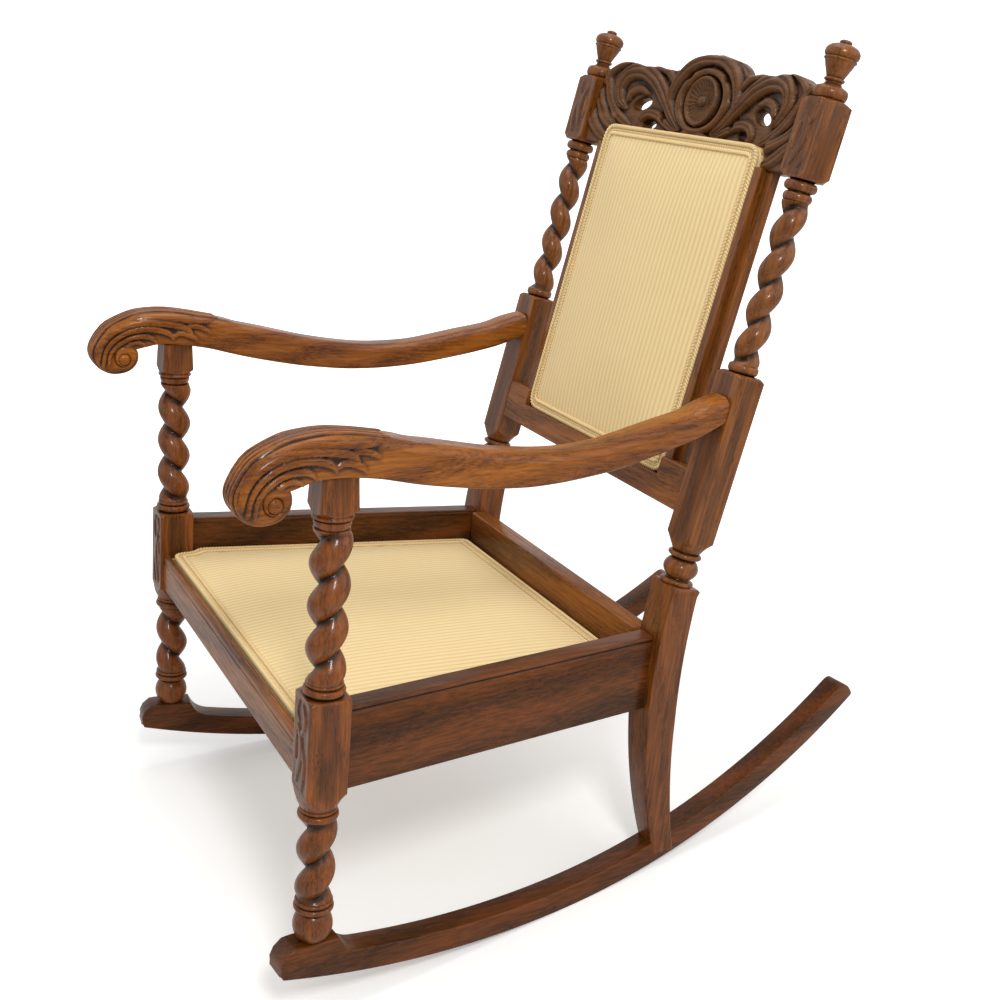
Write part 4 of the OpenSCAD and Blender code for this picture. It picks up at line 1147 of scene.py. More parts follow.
@dataclass
class Runner:
    """A bow runner: a board sawn to two tangent arcs, with a pad under the front foot."""

    main_r: float = 1145.0
    tail_r: float = 916.0
    low_y: float = 242.0
    tail_start: float = 100.0
    tail_run: float = 607.0
    nose: float = 15.0
    depth: float = 30.5
    width: float = 33.6
    pad_z: float = 71.0
    front_x: float = 312.0
    yaw_deg: float = 6.4287
    pad_end: float = 62.0
    edge: float = 3.0
    # The toe's lower and upper edge, as Y and Z of each
    toe: tuple[tuple[float, float, float, float], ...] = (
        (-44.5, 37.5, -45.5, 44), (-41, 35.6, -44.6, 52), (-36, 34.2, -40.5, 62),
        (-30.0, 32.8, -31.0, 70.2),
    )

    def on_main(self, y: float, inset: float = 0.0) -> tuple[float, float]:
        """A point of the main arc, or of the arc that much over it."""
        r = self.main_r - inset
        return y, self.main_r - math.sqrt(r**2 - (y - self.low_y) ** 2)

    def outline(self) -> tuple[Array, Array]:
        """Lower and upper edge points, paired, as Y and Z along the board."""
        a0 = math.asin(self.tail_start / self.main_r)
        cy = self.low_y + (self.main_r - self.tail_r) * math.sin(a0)
        cz = self.main_r - (self.main_r - self.tail_r) * math.cos(a0)
        a1 = math.asin((self.low_y + self.tail_run - cy) / self.tail_r)
        low = [(yl, zl) for yl, zl, _, _ in self.toe]
        high = [(yh, zh) for _, _, yh, zh in self.toe]
        for y in np.linspace(-24, 27, 8):
            low.append(self.on_main(y))
            high.append((y, self.pad_z))
        start = np.array([28.0, self.pad_z])
        knee = np.array([35.0, self.on_main(45.0, self.depth)[1]])
        landing = np.array(self.on_main(self.pad_end, self.depth))
        for t in np.linspace(0.1, 1, 10):
            p = (1 - t) ** 2 * start + 2 * t * (1 - t) * knee + t * t * landing
            low.append(self.on_main(p[0]))
            high.append(tuple(p))
        for a in np.linspace(math.asin((self.pad_end + 5 - self.low_y) / self.main_r), a0 - 0.002, 26):
            for out, r in ((low, self.main_r), (high, self.main_r - self.depth)):
                out.append((self.low_y + r * math.sin(a), self.main_r - r * math.cos(a)))
        bend = self.nose / self.tail_r
        rounded_end = a1 - bend * np.cos(np.radians([12, 26, 40, 55, 72, 89]))
        for a in np.concatenate([np.linspace(a0, a1 - bend, 60), rounded_end]):
            into = max(0.0, self.nose - (a1 - a) * self.tail_r)
            drop = self.nose - math.sqrt(max(0.0, self.nose**2 - into**2))
            for out, r in ((low, self.tail_r), (high, self.tail_r - self.depth + drop)):
                out.append((cy + r * math.sin(a), cz - r * math.cos(a)))
        return np.array(low), np.array(high)

    def turned_out(self, points: Array) -> Array:
        """The left runner's points, turned out by its yaw.

        Args:
            points: Y and Z of each, along the board.

        Returns:
            The points in the chair's frame.
        """
        yaw = math.radians(self.yaw_deg)
        x = self.front_x - points[:, 0] * math.sin(yaw)
        return np.stack([x, points[:, 0] * math.cos(yaw), points[:, 1]], axis=-1)

    def build(self, side: Side) -> Piece:
        """Builds the runner.

        Args:
            side: which side of the chair.

        Returns:
            The new object.
        """
        low, high = (mirrored(self.turned_out(points), side) for points in self.outline())
        yaw = math.radians(self.yaw_deg)
        across = mirrored(np.array([math.cos(yaw), math.sin(yaw), 0.0]), side)
        return bar(f"runner_{side.word}_sawn", low, high, across, self.width, self.edge)


@dataclass
class RearLeg:
    """The curved lower leg, sawn between two large arcs and thinned toward the runner."""

    front_y: float = 454.0
    depth: float = 43.0
    waist_z: float = 290.0
    front_r: float = 715.0
    back_r: float = 950.0
    x: float = 256.0
    # Lower and upper end, and the leg's width at four heights
    foot_z: float = 46.0
    head_z: float = 418.0
    widths: tuple[tuple[float, float], ...] = ((46, 34), (67, 34), (250, 47.6), (440, 48))
    # The sloping top under the turned ball: Y and Z of its front and back edge
    shoulder: tuple[tuple[float, float], ...] = ((467.9, 435), (509.5, 426.2))

    def build(self, side: Side) -> Piece:
        """Builds the leg.

        Args:
            side: which side of the chair.

        Returns:
            The new object.
        """
        z = np.linspace(self.foot_z, self.head_z, 56)
        front = self.front_y + self.front_r - np.sqrt(self.front_r**2 - (z - self.waist_z) ** 2)
        back = self.front_y + self.depth + self.back_r - np.sqrt(self.back_r**2 - (z - self.waist_z) ** 2)
        at, widths = zip(*self.widths)
        width = np.append(np.interp(z, at, widths), widths[-1])
        low, high = (
            np.vstack([np.stack([np.full_like(z, self.x), y, z], -1), (self.x, *end)])
            for y, end in zip((front, back), self.shoulder)
        )
        return bar(
            f"rear_leg_{side.word}_sawn", mirrored(low, side), mirrored(high, side), (1.0, 0.0, 0.0), width, 2.2
        )


# Arms


@dataclass
class Arm:
    """A scrolled arm: a swept bar that rolls over in front into a volute, carved with a long leaf."""

    front_x: float = 312.0
    rear_x: float = 256.0
    base_z: float = 113.0
    width: float = 48.0
    rear_width: float = 44.0
    centre: tuple[float, float] = (-79.0, 495.0)
    eye: tuple[float, float] = (-73.0, 490.0)

    # Upper and lower edge from the rear post to the roll, Y and height over the base
    top: tuple[tuple[float, float], ...] = (
        (514, 560), (489, 553), (460, 542), (413, 532), (355, 519), (325, 514.5), (280, 512),
        (238, 514), (185, 520.5), (148, 527.5), (110, 535), (84, 539.5), (66, 544.5), (38, 549.5),
        (12, 553.5), (-15, 556), (-42, 554.4), (-64, 549),
    )
    under: tuple[tuple[float, float], ...] = (
        (518, 530.5), (477, 514.5), (441, 504.5), (397, 494.5), (348, 485), (300, 479.5), (263, 477.5),
        (228, 477.5), (176, 481.5), (130, 488), (93, 494.5), (66, 500.5), (44, 505.5), (19, 509.2),
        (-4, 511), (-27, 511), (-40, 508), (-52, 504),
    )
    # The volute's outline: angle about its centre and radius, the second turn inside the first
    volute: tuple[tuple[float, float], ...] = (
        (98, 47), (107, 43.5), (115, 40.2), (125, 37.4), (148, 34.6), (180, 34.2), (225, 29),
        (270, 23.4), (315, 22.6), (360, 23.2), (380, 23.4), (410, 21), (450, 17.2), (490, 14.2),
        (540, 11.6), (600, 9.6), (660, 8.6), (740, 8.2), (1100, 8),
    )

    # Leaf strands on both sides: Y, height over the base, half width and relief, from roll to tip
    strands: tuple[Strand, ...] = (
        ((-117, 497, 3.5, 1.6), (-110, 519, 4.5, 2), (-94, 536, 5, 2.2), (-70, 547, 5, 2.2), (-42, 550, 5, 2.2),
         (-12, 549, 5, 2.2), (14, 546, 5, 2), (34, 546, 4, 1.8), (48, 549, 2, 1.2)),
        ((-108, 488, 2.8, 1.4), (-104, 508, 3.6, 1.8), (-92, 525, 4.4, 2.2), (-72, 537, 4.8, 2.4),
         (-46, 542, 5, 2.4), (-20, 541, 5, 2.4), (0, 538, 4.8, 2.2), (12, 533, 3.6, 2), (17, 527, 1.6, 1.2)),
        ((-101, 482, 2.2, 1.2), (-98, 500, 2.8, 1.7), (-88, 516, 3.6, 2.1), (-70, 528, 4.2, 2.3),
         (-48, 533, 4.6, 2.4), (-28, 532, 4.4, 2.2), (-14, 527, 3.6, 2), (-8, 520, 1.6, 1.2)),
        ((-94, 480, 1.8, 1.2), (-92, 496, 2.4, 1.6), (-83, 509, 3, 2), (-68, 519, 3.6, 2.2), (-52, 523, 3.8, 2.2),
         (-38, 521, 3.2, 2), (-30, 514, 1.5, 1.2)),
        ((-70, 509, 2.2, 1.6), (-58, 514, 2.8, 1.9), (-48, 512, 2.4, 1.6), (-43, 508, 1.2, 1)),
        ((-10, 522, 2, 1.4), (2, 528, 3.6, 1.9), (18, 523, 3.6, 1.9), (26, 516, 1.6, 1.2)),
        ((12, 538, 2.4, 1.6), (24, 538, 3.4, 1.9), (36, 533, 2.6, 1.6), (42, 528, 1.2, 1)),
    )
    low_corner: float = 5.0
    high_corner: float = 12.0
    points_round: int = 132
    # Where the volute's outline starts and ends, and the point where its first turn meets the underside
    roll_from: float = 112.0
    roll_to: float = 640.0
    throat: tuple[float, float] = (-54.0, 503.3)
    crown: float = 1.2
    roll_flare: float = 2.4
    leaf_gain: float = 1.3
    # The flutes over the roll: their spacing, the length and spacing of the lobes where they end, and the tip's Y
    flute_mm: float = 8.0
    lobe_mm: float = 13.0
    lobe_length: float = 12.0
    tip_y: float = 58.0
    # How deep a hollow must be for full dirt and painted shade
    grime_and_shade_depth: float = 1.1
    # The eye's half length, its radius and how far it sits from the arm's middle
    eye_shift: float = 8.5
    eye_profile: tuple[tuple[float, float], ...] = (
        (-26.6, 0.2), (-26.4, 3), (-25.6, 5.8), (-24, 7.8), (-20, 8.4), (20, 8.4), (24, 7.8), (25.6, 5.8),
        (26.4, 3), (26.6, 0.2),
    )

    def volute_radius(self) -> tuple[Array, Array]:
        """The volute's angles and radii, joined by a smooth curve."""
        c = smooth_curve(self.volute, 12)
        return c[:, 0], c[:, 1]

    def volute_point(self, angle: float, table: tuple[Array, Array]) -> Array:
        """A point of the volute's outline, drifting from its centre to its eye.

        Args:
            angle: how far round, in degrees.
            table: angles and radii.

        Returns:
            Its Y and height over the base.
        """
        r = float(np.interp(angle, *table))
        drift = float(smoothstep(angle, 300.0, 560.0))
        c = np.array(self.centre) * (1 - drift) + np.array(self.eye) * drift
        a = math.radians(angle)
        return c + r * np.array([math.cos(a), math.sin(a)])

    def outline(self) -> tuple[Array, Array, Array]:
        """Paired upper and lower points along the arm, and how far along the roll each is in degrees."""
        table = self.volute_radius()
        roll = np.linspace(self.roll_from, self.roll_to, 250)
        outer = np.array([self.volute_point(a, table) for a in roll])
        inner = []
        for a in roll:
            target = self.volute_point(a + 360.0, table)
            t = float(smoothstep(a, 104.0, 150.0))
            inner.append(np.array(self.throat) * (1 - t) + target * t)
        top = smooth_curve(self.top + (tuple(outer[0]), tuple(outer[12])), 20)[:-20]
        under = smooth_curve(self.under[:-1] + (tuple(inner[0]),), 20)
        count = min(len(top), len(under))
        top = top[np.linspace(0, len(top) - 1, count).astype(int)]
        under = under[np.linspace(0, len(under) - 1, count).astype(int)]
        high = np.vstack([top[:-1], outer])
        low = np.vstack([under[:-1], np.array(inner)])
        for _ in range(12):
            high[1:-1] = high[1:-1] * 0.5 + (high[:-2] + high[2:]) * 0.25
            low[1:-1] = low[1:-1] * 0.5 + (low[:-2] + low[2:]) * 0.25
        turned = np.concatenate([np.zeros(count - 1), roll])
        return high, low, turned

    def section(self, w: float, h: float) -> tuple[Array, Array]:
        """A section with soft upper and crisper lower corners.

        Args:
            w: its width.
            h: its height.

        Returns:
            Evenly spaced points, across and up, and the outward direction at each.
        """
        rt = min(self.high_corner, w * 0.45, h * 0.45)
        rl = min(self.low_corner, w * 0.3, h * 0.3)
        out = []
        corners = (
            (0.0, h, 0, 0), (w / 2 - rt, h - rt, rt, 90), (w / 2 - rl, rl, rl, 0), (-w / 2 + rl, rl, rl, -90),
            (-w / 2 + rt, h - rt, rt, 180),
        )
        for cu, cv, r, a0 in corners:
            for k in range(9 if r else 1):
                a = math.radians(a0 - 90 * k / 8)
                out.append((cu + r * math.cos(a), cv + r * math.sin(a)))
        pts = evenly_round(out, 0.0, self.points_round)
        ahead = np.roll(pts, -1, 0) - np.roll(pts, 1, 0)
        away = np.stack([-ahead[:, 1], ahead[:, 0]], -1)
        return pts, away / np.linalg.norm(away, axis=1, keepdims=True)

    def skin(self, high: Array, low: Array, turned: Array) -> tuple[Array, Array, Array]:
        """The arm's skin before it is carved.

        Args:
            high: upper points along the arm.
            low: lower points along the arm.
            turned: how far along the roll each is, in degrees.

        Returns:
            Places and outward directions, stations by points by 3, and a mask of the points that don't face down.
        """
        shape = (len(high), self.points_round, 3)
        flat, away, upper = np.zeros(shape), np.zeros(shape), np.zeros(shape[:2])
        for i in range(len(high)):
            up = high[i] - low[i]
            h = float(np.linalg.norm(up))
            up = up / h
            middle = (high[i] + low[i])[0] / 2
            w = float(np.interp(middle, [-60, 60, 500], [self.width, self.width, self.rear_width]))
            w += self.roll_flare * float(smoothstep(turned[i], 400.0, 500.0))
            sec, out = self.section(w, h)
            bulge = 1.0 - np.clip(np.abs(sec[:, 0]) / (w / 2), 0, 1) ** 2
            v = sec[:, 1] + self.crown * bulge * (sec[:, 1] > h / 2)
            flat[i] = np.stack([sec[:, 0], low[i][0] + up[0] * v, low[i][1] + up[1] * v], -1)
            away[i] = np.stack([out[:, 0], up[0] * out[:, 1], up[1] * out[:, 1]], -1)
            upper[i] = out[:, 1] > -0.3
        return flat, away, upper

    def relief(self, high: Array, turned: Array, skin: tuple[Array, Array, Array]) -> Array:
        """The carving: a leaf on each side, and flutes over the roll that end in lobes.

        Args:
            high: upper points along the arm.
            turned: how far along the roll each is, in degrees.
            skin: what skin() gives.

        Returns:
            Its height at each point, in millimetres.
        """
        flat, away, upper = skin
        leaf = np.zeros(flat.shape[:2])
        for strand in self.strands:
            leaf = np.maximum(leaf, stroke_field(flat[..., 1], flat[..., 2], strand)[0])
        run = distances(high)
        tip = run[np.argmin(np.abs(high[:, 0] - self.tip_y) + (turned > 0) * 999)]
        along = (run - tip)[:, None]
        across = flat[..., 0]
        lobes = self.lobe_length * np.abs(np.sin(math.pi * across / self.lobe_mm))
        wave = np.cos(math.pi * across / self.flute_mm + 0.35 * np.sin(along / 23.0))
        flutes = 1.7 - 2.6 * np.abs(wave) ** 6
        fade = 1 - smoothstep(turned[:, None], 330.0, 400.0)
        top = flutes * smoothstep(along - lobes, 0.0, 5.0) * fade * upper
        first_turn = (turned < 385.0)[:, None]
        on_side = smoothstep(np.abs(away[..., 0]), 0.45, 0.85)
        return self.leaf_gain * leaf * on_side * first_turn + top * (1 - on_side)

    def build(self, side: Side) -> Piece:
        """Builds the arm with its carving.

        Args:
            side: which side of the chair.

        Returns:
            The new object.
        """
        high, low, turned = self.outline()
        skin = self.skin(high, low, turned)
        relief = self.relief(high, turned, skin)
        pts = skin[0] + skin[1] * relief[..., None]
        # Dirt plus painted shade in the carving's hollows
        hollow = np.clip((soften(relief, 3, 4, True) - relief) / self.grime_and_shade_depth, 0, 1)
        toward_rear = (self.rear_x - self.front_x) * (high + low)[:, :1] / 1024.0
        pts[..., 0] += self.front_x + np.clip(toward_rear, -70, 20)
        pts[..., 2] += self.base_z
        verts = pts.reshape(-1, 3)
        eye_v, eye_f = self.eye_button(len(verts))
        world = STANCE.world(mirrored(np.vstack([verts, eye_v]), side))
        grime_and_shade = np.concatenate([hollow.reshape(-1), np.zeros(len(eye_v))])
        return finish_mesh(f"arm_{side.word}_carved", world, ring_faces(*pts.shape[:2]) + eye_f, grime_and_shade, 55.0)

    def eye_button(self, start: int) -> tuple[Array, Faces]:
        """The round eye that runs through the volute and stands a little proud on both sides.

        Args:
            start: index of its first point.

        Returns:
            Its points in the chair's frame, and its faces.
        """
        cols = 40
        a = np.linspace(0, 2 * math.pi, cols, endpoint=False)
        x0, (y0, z0) = self.front_x + self.eye_shift, self.eye
        pts = np.array([
            np.stack([np.full(cols, x0 + u), y0 + r * np.cos(a), self.base_z + z0 + r * np.sin(a)], -1)
            for u, r in self.eye_profile
        ])
        return pts.reshape(-1, 3), ring_faces(len(self.eye_profile), cols, start)


# Seat box


@dataclass
class SeatBox:
    """The rails round the drop-in seat."""

    outer_front: float = 333.0
    slope: float = 67.0 / 454.0
    thickness: float = 26.0
    low: float = 265.0
    top: float = 365.0
    back_y: float = 447.0
    bead_r: float = 2.7
    front_y: float = 24.05
    back_half: float = 231.8
    front_half: float = 287.9
    # How dark the groove under the outer bead is: dirt plus painted shade
    groove_shade_and_dirt: float = 0.75

    def side_rail(self, side: Side) -> Piece:
        """A side rail with a small bead worked along its outer top edge.

        Args:
            side: which side of the chair.

        Returns:
            The new object.
        """
        t = self.thickness / math.cos(math.atan(self.slope))
        r = self.bead_r
        turn = np.radians(np.linspace(-62.0, 90.0, 9))
        section = [(-t + 1, self.low), (-1.6, self.low), (0, self.low + 1.6), (0, self.top - 2 * r - 2.2),
                   (-0.8, self.top - 2 * r - 1.2), (-r * 0.62, self.top - 2 * r - 0.5)]
        section += [(-r + r * math.cos(a), self.top - r + r * math.sin(a)) for a in turn]
        section += [(-t + 1.0, self.top), (-t, self.top - 1.0), (-t, self.low + 1.0)]
        ys = np.array([self.front_y, 160.0, 300.0, self.back_y + 8.0])
        rings = np.array([[[self.outer_front - self.slope * y + u, y, z] for u, z in section] for y in ys])
        hollow = np.zeros(rings.shape[:2])
        # Dirt plus painted shade in the groove under the bead
        hollow[:, 4:7] = self.groove_shade_and_dirt
        return ring_piece(f"side_rail_{side.word}_planed", mirrored(rings, side), hollow, sharp_deg=42.0)

    def side_bead(self, side: Side) -> Piece:
        """The small bead worked along a side rail's inner top edge.

        Args:
            side: which side of the chair.

        Returns:
            The new object.
        """
        ys = np.array([self.front_y, 160.0, 300.0, self.back_y])
        t = self.thickness / math.cos(math.atan(self.slope))
        x = self.outer_front - self.slope * ys - t + 0.8
        low = np.stack([x, ys, np.full(4, self.top - 9.0)], -1)
        high = np.stack([x, ys, np.full(4, self.top - 3.4)], -1)
        return bar(f"side_bead_{side.word}", mirrored(low, side), mirrored(high, side), (1.0, 0.0, 0.0), 3.2, 1.5)

    def back_rail(self) -> Piece:
        """The back rail."""
        y = self.back_y + self.thickness / 2
        low, high = ([[x, y, z] for x in (-self.back_half, 0, self.back_half)] for z in (self.low, self.top))
        return bar("back_rail_planed", low, high, (0.0, 1.0, 0.0), self.thickness, 2.4)

    def front_rail(self) -> Piece:
        """The low front rail with its rounded lip in front of the seat, one moulded section."""
        section = [
            (-19, 265.8), (-18.2, 265), (14.2, 265), (15, 265.8), (15, 288.6), (-9, 288.8),
            (-9.0, 312.0),
            (-10, 314.2), (-12, 315.3), (-14.5, 315.6), (-16.6, 314.8), (-18.4, 312.6), (-19, 310),
            (-19, 306.6), (-18, 305.4), (-18, 303.4), (-19, 302.2), (-19, 285),
        ]
        xs = np.linspace(-self.front_half, self.front_half, 5)
        rings = np.array([[[x, y, z] for y, z in section] for x in xs])
        return ring_piece("front_rail_moulded", rings, sharp_deg=30.0)


# Back


@dataclass
class Crest:
    """The carved, pierced crest rail: a bowed board with a fluted boss, a ring and leaf scrolls."""

    half: float = 232.0
    low: float = 468.0
    end_height: float = 106.0
    front_end: float = 9.0
    bow: float = 18.0
    thickness: float = 22.0
    step: float = 1.3
    # Top outline: share of the half width and share of the end height
    outline: tuple[tuple[float, float], ...] = (
        (0, 1.315), (0.04, 1.325), (0.11, 1.295), (0.2, 1.262), (0.27, 1.2), (0.325, 1.112), (0.38, 1.085),
        (0.43, 1.088), (0.5, 1.108), (0.58, 1.092), (0.64, 1.088), (0.7, 1.115), (0.78, 1.125), (0.86, 1.1),
        (0.92, 1.045), (0.96, 1.01), (1, 0.99),
    )
    # Pierced holes, mirrored: X and height of the middle, two radii and a turn in degrees
    pierced: tuple[tuple[float, float, float, float, float], ...] = (
        (137, 533, 19, 8.5, -14), (108, 506, 13, 6, -8), (40, 577, 6.5, 4, -30),
        (80.0, 520.0, 4.5, 9.0, -25.0),
    )
    # Leaf strokes, mirrored: X, height, half width and relief along each, then its flutes and their depth
    strokes: tuple[tuple[Strand, int, float], ...] = (
        (((40, 506, 5, 5), (60, 520, 8, 7), (84, 543, 11, 9), (112, 565, 13, 10.5), (146, 577, 13, 10.5),
          (176, 572, 12, 10), (190, 552, 11, 9), (182, 532, 8, 8), (168, 524, 4, 6)), 3, 2.6),
        (((44, 500, 4, 4), (66, 508, 6, 6), (92, 519, 7, 7), (114, 520, 7, 7), (126, 510, 6, 6),
          (122, 498, 4, 5)), 2, 2.0),
        (((152, 500, 5, 4), (172, 508, 8, 6), (190, 520, 8, 7), (206, 536, 8, 7), (218, 556, 7, 6),
          (230, 572, 6, 5)), 2, 2.0),
        (((150, 486, 5, 4), (176, 494, 8, 6), (200, 506, 9, 6), (222, 522, 9, 6), (234, 540, 8, 5)), 2, 2),
        (((180, 474, 6, 4), (204, 484, 9, 5), (226, 500, 9, 5), (236, 516, 8, 5)), 2, 1.8),
        (((0, 600, 7, 8), (24, 598, 9, 9), (48, 588, 10, 9.5), (66, 570, 9, 9), (74, 548, 7, 8), (70, 528, 5, 6),
          (60, 512, 4, 4)), 2, 2.4),
        (((76, 566, 4, 5), (90, 578, 6, 7), (106, 583, 6, 7), (124, 585, 5, 6), (140, 592, 4, 5)), 1, 0),
        (((150, 590, 4, 5), (176, 592, 6, 6), (200, 584, 7, 7), (216, 572, 6, 6), (226, 556, 5, 5)), 1, 0),
        (((128, 548, 4, 5), (144, 552, 6, 7), (160, 546, 6, 7), (166, 536, 4, 6)), 1, 0),
        (((0, 500, 5, 6), (16, 502, 5, 7), (30, 497, 5, 5), (46, 494, 4, 4)), 1, 0),
    )
    # The boss: its middle's height, its dish, roll, eye and flutes, and the oval ring round it
    boss_s: float = 545.0
    boss_r: float = 33.5
    roll_r: float = 29.0
    eye_r: float = 7.0
    flutes: int = 26
    flute_depth: float = 1.9
    ring: tuple[float, float] = (57.0, 44.0)
    ring_at: float = 0.9
    ring_half: float = 0.13
    ring_height: float = 8.0
    # How much the board rises beside the panel, how its edges are eased and how deep the dirt and painted shade
    # in its hollows lie
    beside_rise: float = 7.5
    front_ease: float = 2.4
    back_ease: float = 1.5
    ground_back: float = 4.5
    grime_and_shade_depth: float = 2.6

    def top_at(self, x: Array) -> Array:
        """Height of the top outline at X."""
        c = smooth_curve(self.outline, 10)
        return self.low + self.end_height * np.interp(np.abs(x) / self.half, c[:, 0], c[:, 1])

    def inside(self, x: Array, s: Array) -> Array:
        """How far inside the pierced board points are.

        Args:
            x: their X.
            s: their heights up the back.

        Returns:
            Millimetres, negative outside.
        """
        d = np.minimum(self.top_at(x) - s, s - self.low)
        d = np.minimum(d, self.half - np.abs(x))
        ax = np.abs(x)
        for px, ps, rx, rs, turn in self.pierced:
            a = math.radians(turn)
            u = (ax - px) * math.cos(a) + (s - ps) * math.sin(a)
            v = -(ax - px) * math.sin(a) + (s - ps) * math.cos(a)
            k = np.sqrt((u / rx) ** 2 + (v / rs) ** 2)
            d = np.minimum(d, (k - 1) * min(rx, rs))
        return d

    def boss(self, x: Array, s: Array, r: Array) -> Array:
        """The fluted boss: a dish with an eye and a rolled rim.

        Args:
            x: X over the board.
            s: heights up the back.
            r: distance from the boss's middle.

        Returns:
            Its height over the ground.
        """
        a = np.arctan2(s - self.boss_s, x)
        flutes = self.flute_depth * np.abs(np.sin(a * self.flutes / 2)) ** 1.5
        reach = smoothstep(r, self.eye_r, 12) * (1 - smoothstep(r, 27, self.roll_r))
        dish = 3.0 + 5.5 * (r / 32.0) ** 2 - flutes * reach
        dish = np.where(r > self.roll_r, 9.0 - 2.0 * ((r - 31) / 2.5) ** 2, dish)
        eye = 5.0 + 4.0 * np.sqrt(np.clip(1 - (r / 7.2) ** 2, 0, 1))
        return np.where(r < self.eye_r, eye, dish)

    def relief(self, x: Array, s: Array) -> Array:
        """The carving.

        Args:
            x: X over the board.
            s: heights up the back.

        Returns:
            Its height over the ground, in millimetres.
        """
        ax = np.abs(x)
        h = 0.6 * np.sin(ax / 5.0 + s / 9.0) * 0.4
        for path, flutes, depth in self.strokes:
            leaf, mask = stroke_field(ax, s, path, flutes, depth)
            h = np.where(mask, np.maximum(h, leaf), h)
        k = np.hypot(x / self.ring[0], (s - self.boss_s) / self.ring[1])
        ring = self.ring_height * np.sqrt(np.clip(1 - ((k - self.ring_at) / self.ring_half) ** 2, 0, 1))
        h = np.where(np.abs(k - self.ring_at) < self.ring_half, np.maximum(h, ring), h)
        r = np.hypot(x, s - self.boss_s)
        well = (k < 0.78) & (r > 33)
        h = np.where(well, np.minimum(h, -1.5), h)
        return np.where(r < self.boss_r, self.boss(x, s, r), h)

    def snapped(self, x: Array, s: Array, rim: Array) -> tuple[Array, Array]:
        """Moves the rim's points onto the board's outline.

        Args:
            x: X of the grid.
            s: heights of the grid.
            rim: which points lie on the rim.

        Returns:
            The grid after the move.
        """
        e = 0.2
        for _ in range(4):
            dx = (self.inside(x + e, s) - self.inside(x - e, s)) / (2 * e)
            ds = (self.inside(x, s + e) - self.inside(x, s - e)) / (2 * e)
            g = np.maximum(dx**2 + ds**2, 1e-3)
            now = self.inside(x, s)
            x = np.where(rim, x - np.clip(now * dx / g, -1.0, 1.0), x)
            s = np.where(rim, s - np.clip(now * ds / g, -1.0, 1.0), s)
        return x, s

    def build(self) -> Piece:
        """Builds the crest rail."""
        nx = int(2 * (self.half + 4) / self.step)
        ns = int((self.end_height * 1.34 + 8) / self.step)
        xs = np.linspace(-self.half - 3, self.half + 3, nx)
        ss = np.linspace(self.low - 3, self.low + self.end_height * 1.34 + 3, ns)
        x, s = np.meshgrid(xs, ss)
        d = self.inside(x, s)
        cell = (d[:-1, :-1] + d[1:, :-1] + d[:-1, 1:] + d[1:, 1:]) / 4 > 0
        used = np.zeros_like(d, bool)
        for rows, cols in ((slice(0, -1), slice(0, -1)), (slice(1, None), slice(0, -1)),
                           (slice(0, -1), slice(1, None)), (slice(1, None), slice(1, None))):
            used[rows, cols] |= cell
        inner = np.zeros_like(d, bool)
        inner[1:-1, 1:-1] = cell[:-1, :-1] & cell[1:, :-1] & cell[:-1, 1:] & cell[1:, 1:]
        x, s = self.snapped(x, s, used & ~inner)
        ease = 1 - smoothstep(np.clip(self.inside(x, s), 0, None), 0, 3.0)
        beside = smoothstep(np.abs(x), 177.0, 181.0) * (1 - smoothstep(s, 496.0, 520.0))
        h = self.relief(x, s) + self.beside_rise * beside
        h = h - self.front_ease * ease**2
        bowed = -self.front_end + self.bow * (1 - (x / self.half) ** 2)
        front = bowed + self.ground_back - h
        back = bowed + self.thickness - self.back_ease * ease**2
        # Dirt plus painted shade in the carving's hollows, with a slight even darkening over the whole board
        hollow = np.clip((soften(h, 4, 4, False) - h) / self.grime_and_shade_depth + 0.10, 0, 1).reshape(-1)
        n = x.size
        points = np.vstack([np.stack([x, y, s], -1).reshape(-1, 3) for y in (front, back)])
        idx = np.arange(n).reshape(x.shape)
        quads = np.stack([idx[:-1, :-1][cell], idx[:-1, 1:][cell], idx[1:, 1:][cell], idx[1:, :-1][cell]], -1)
        faces = [tuple(f) for f in np.vstack([quads, quads[:, ::-1] + n]).tolist()]
        faces += [(q, p, p + n, q + n) for p, q in self.open_edges(quads)]
        keep = np.tile(used.reshape(-1), 2)
        new = np.cumsum(keep) - 1
        faces = [tuple(int(new[i]) for i in f) for f in faces]
        grime_and_shade = np.concatenate([hollow, np.zeros(n)])[keep]
        return finish_mesh("crest_rail_carved", STANCE.world(RAKE.chair(points)[keep]), faces, grime_and_shade, 60.0)

    def open_edges(self, quads: Array) -> list[tuple[int, int]]:
        """The edges that only one quad has, in the order and direction in which they are met.

        Args:
            quads: vertex indices, four to a row.

        Returns:
            The edges.
        """
        edges: dict[tuple[int, int], None] = {}
        for quad in quads.tolist():
            for p, q in zip(quad, quad[1:] + quad[:1]):
                if (q, p) in edges:
                    del edges[(q, p)]
                else:
                    edges[(p, q)] = None
        return list(edges)


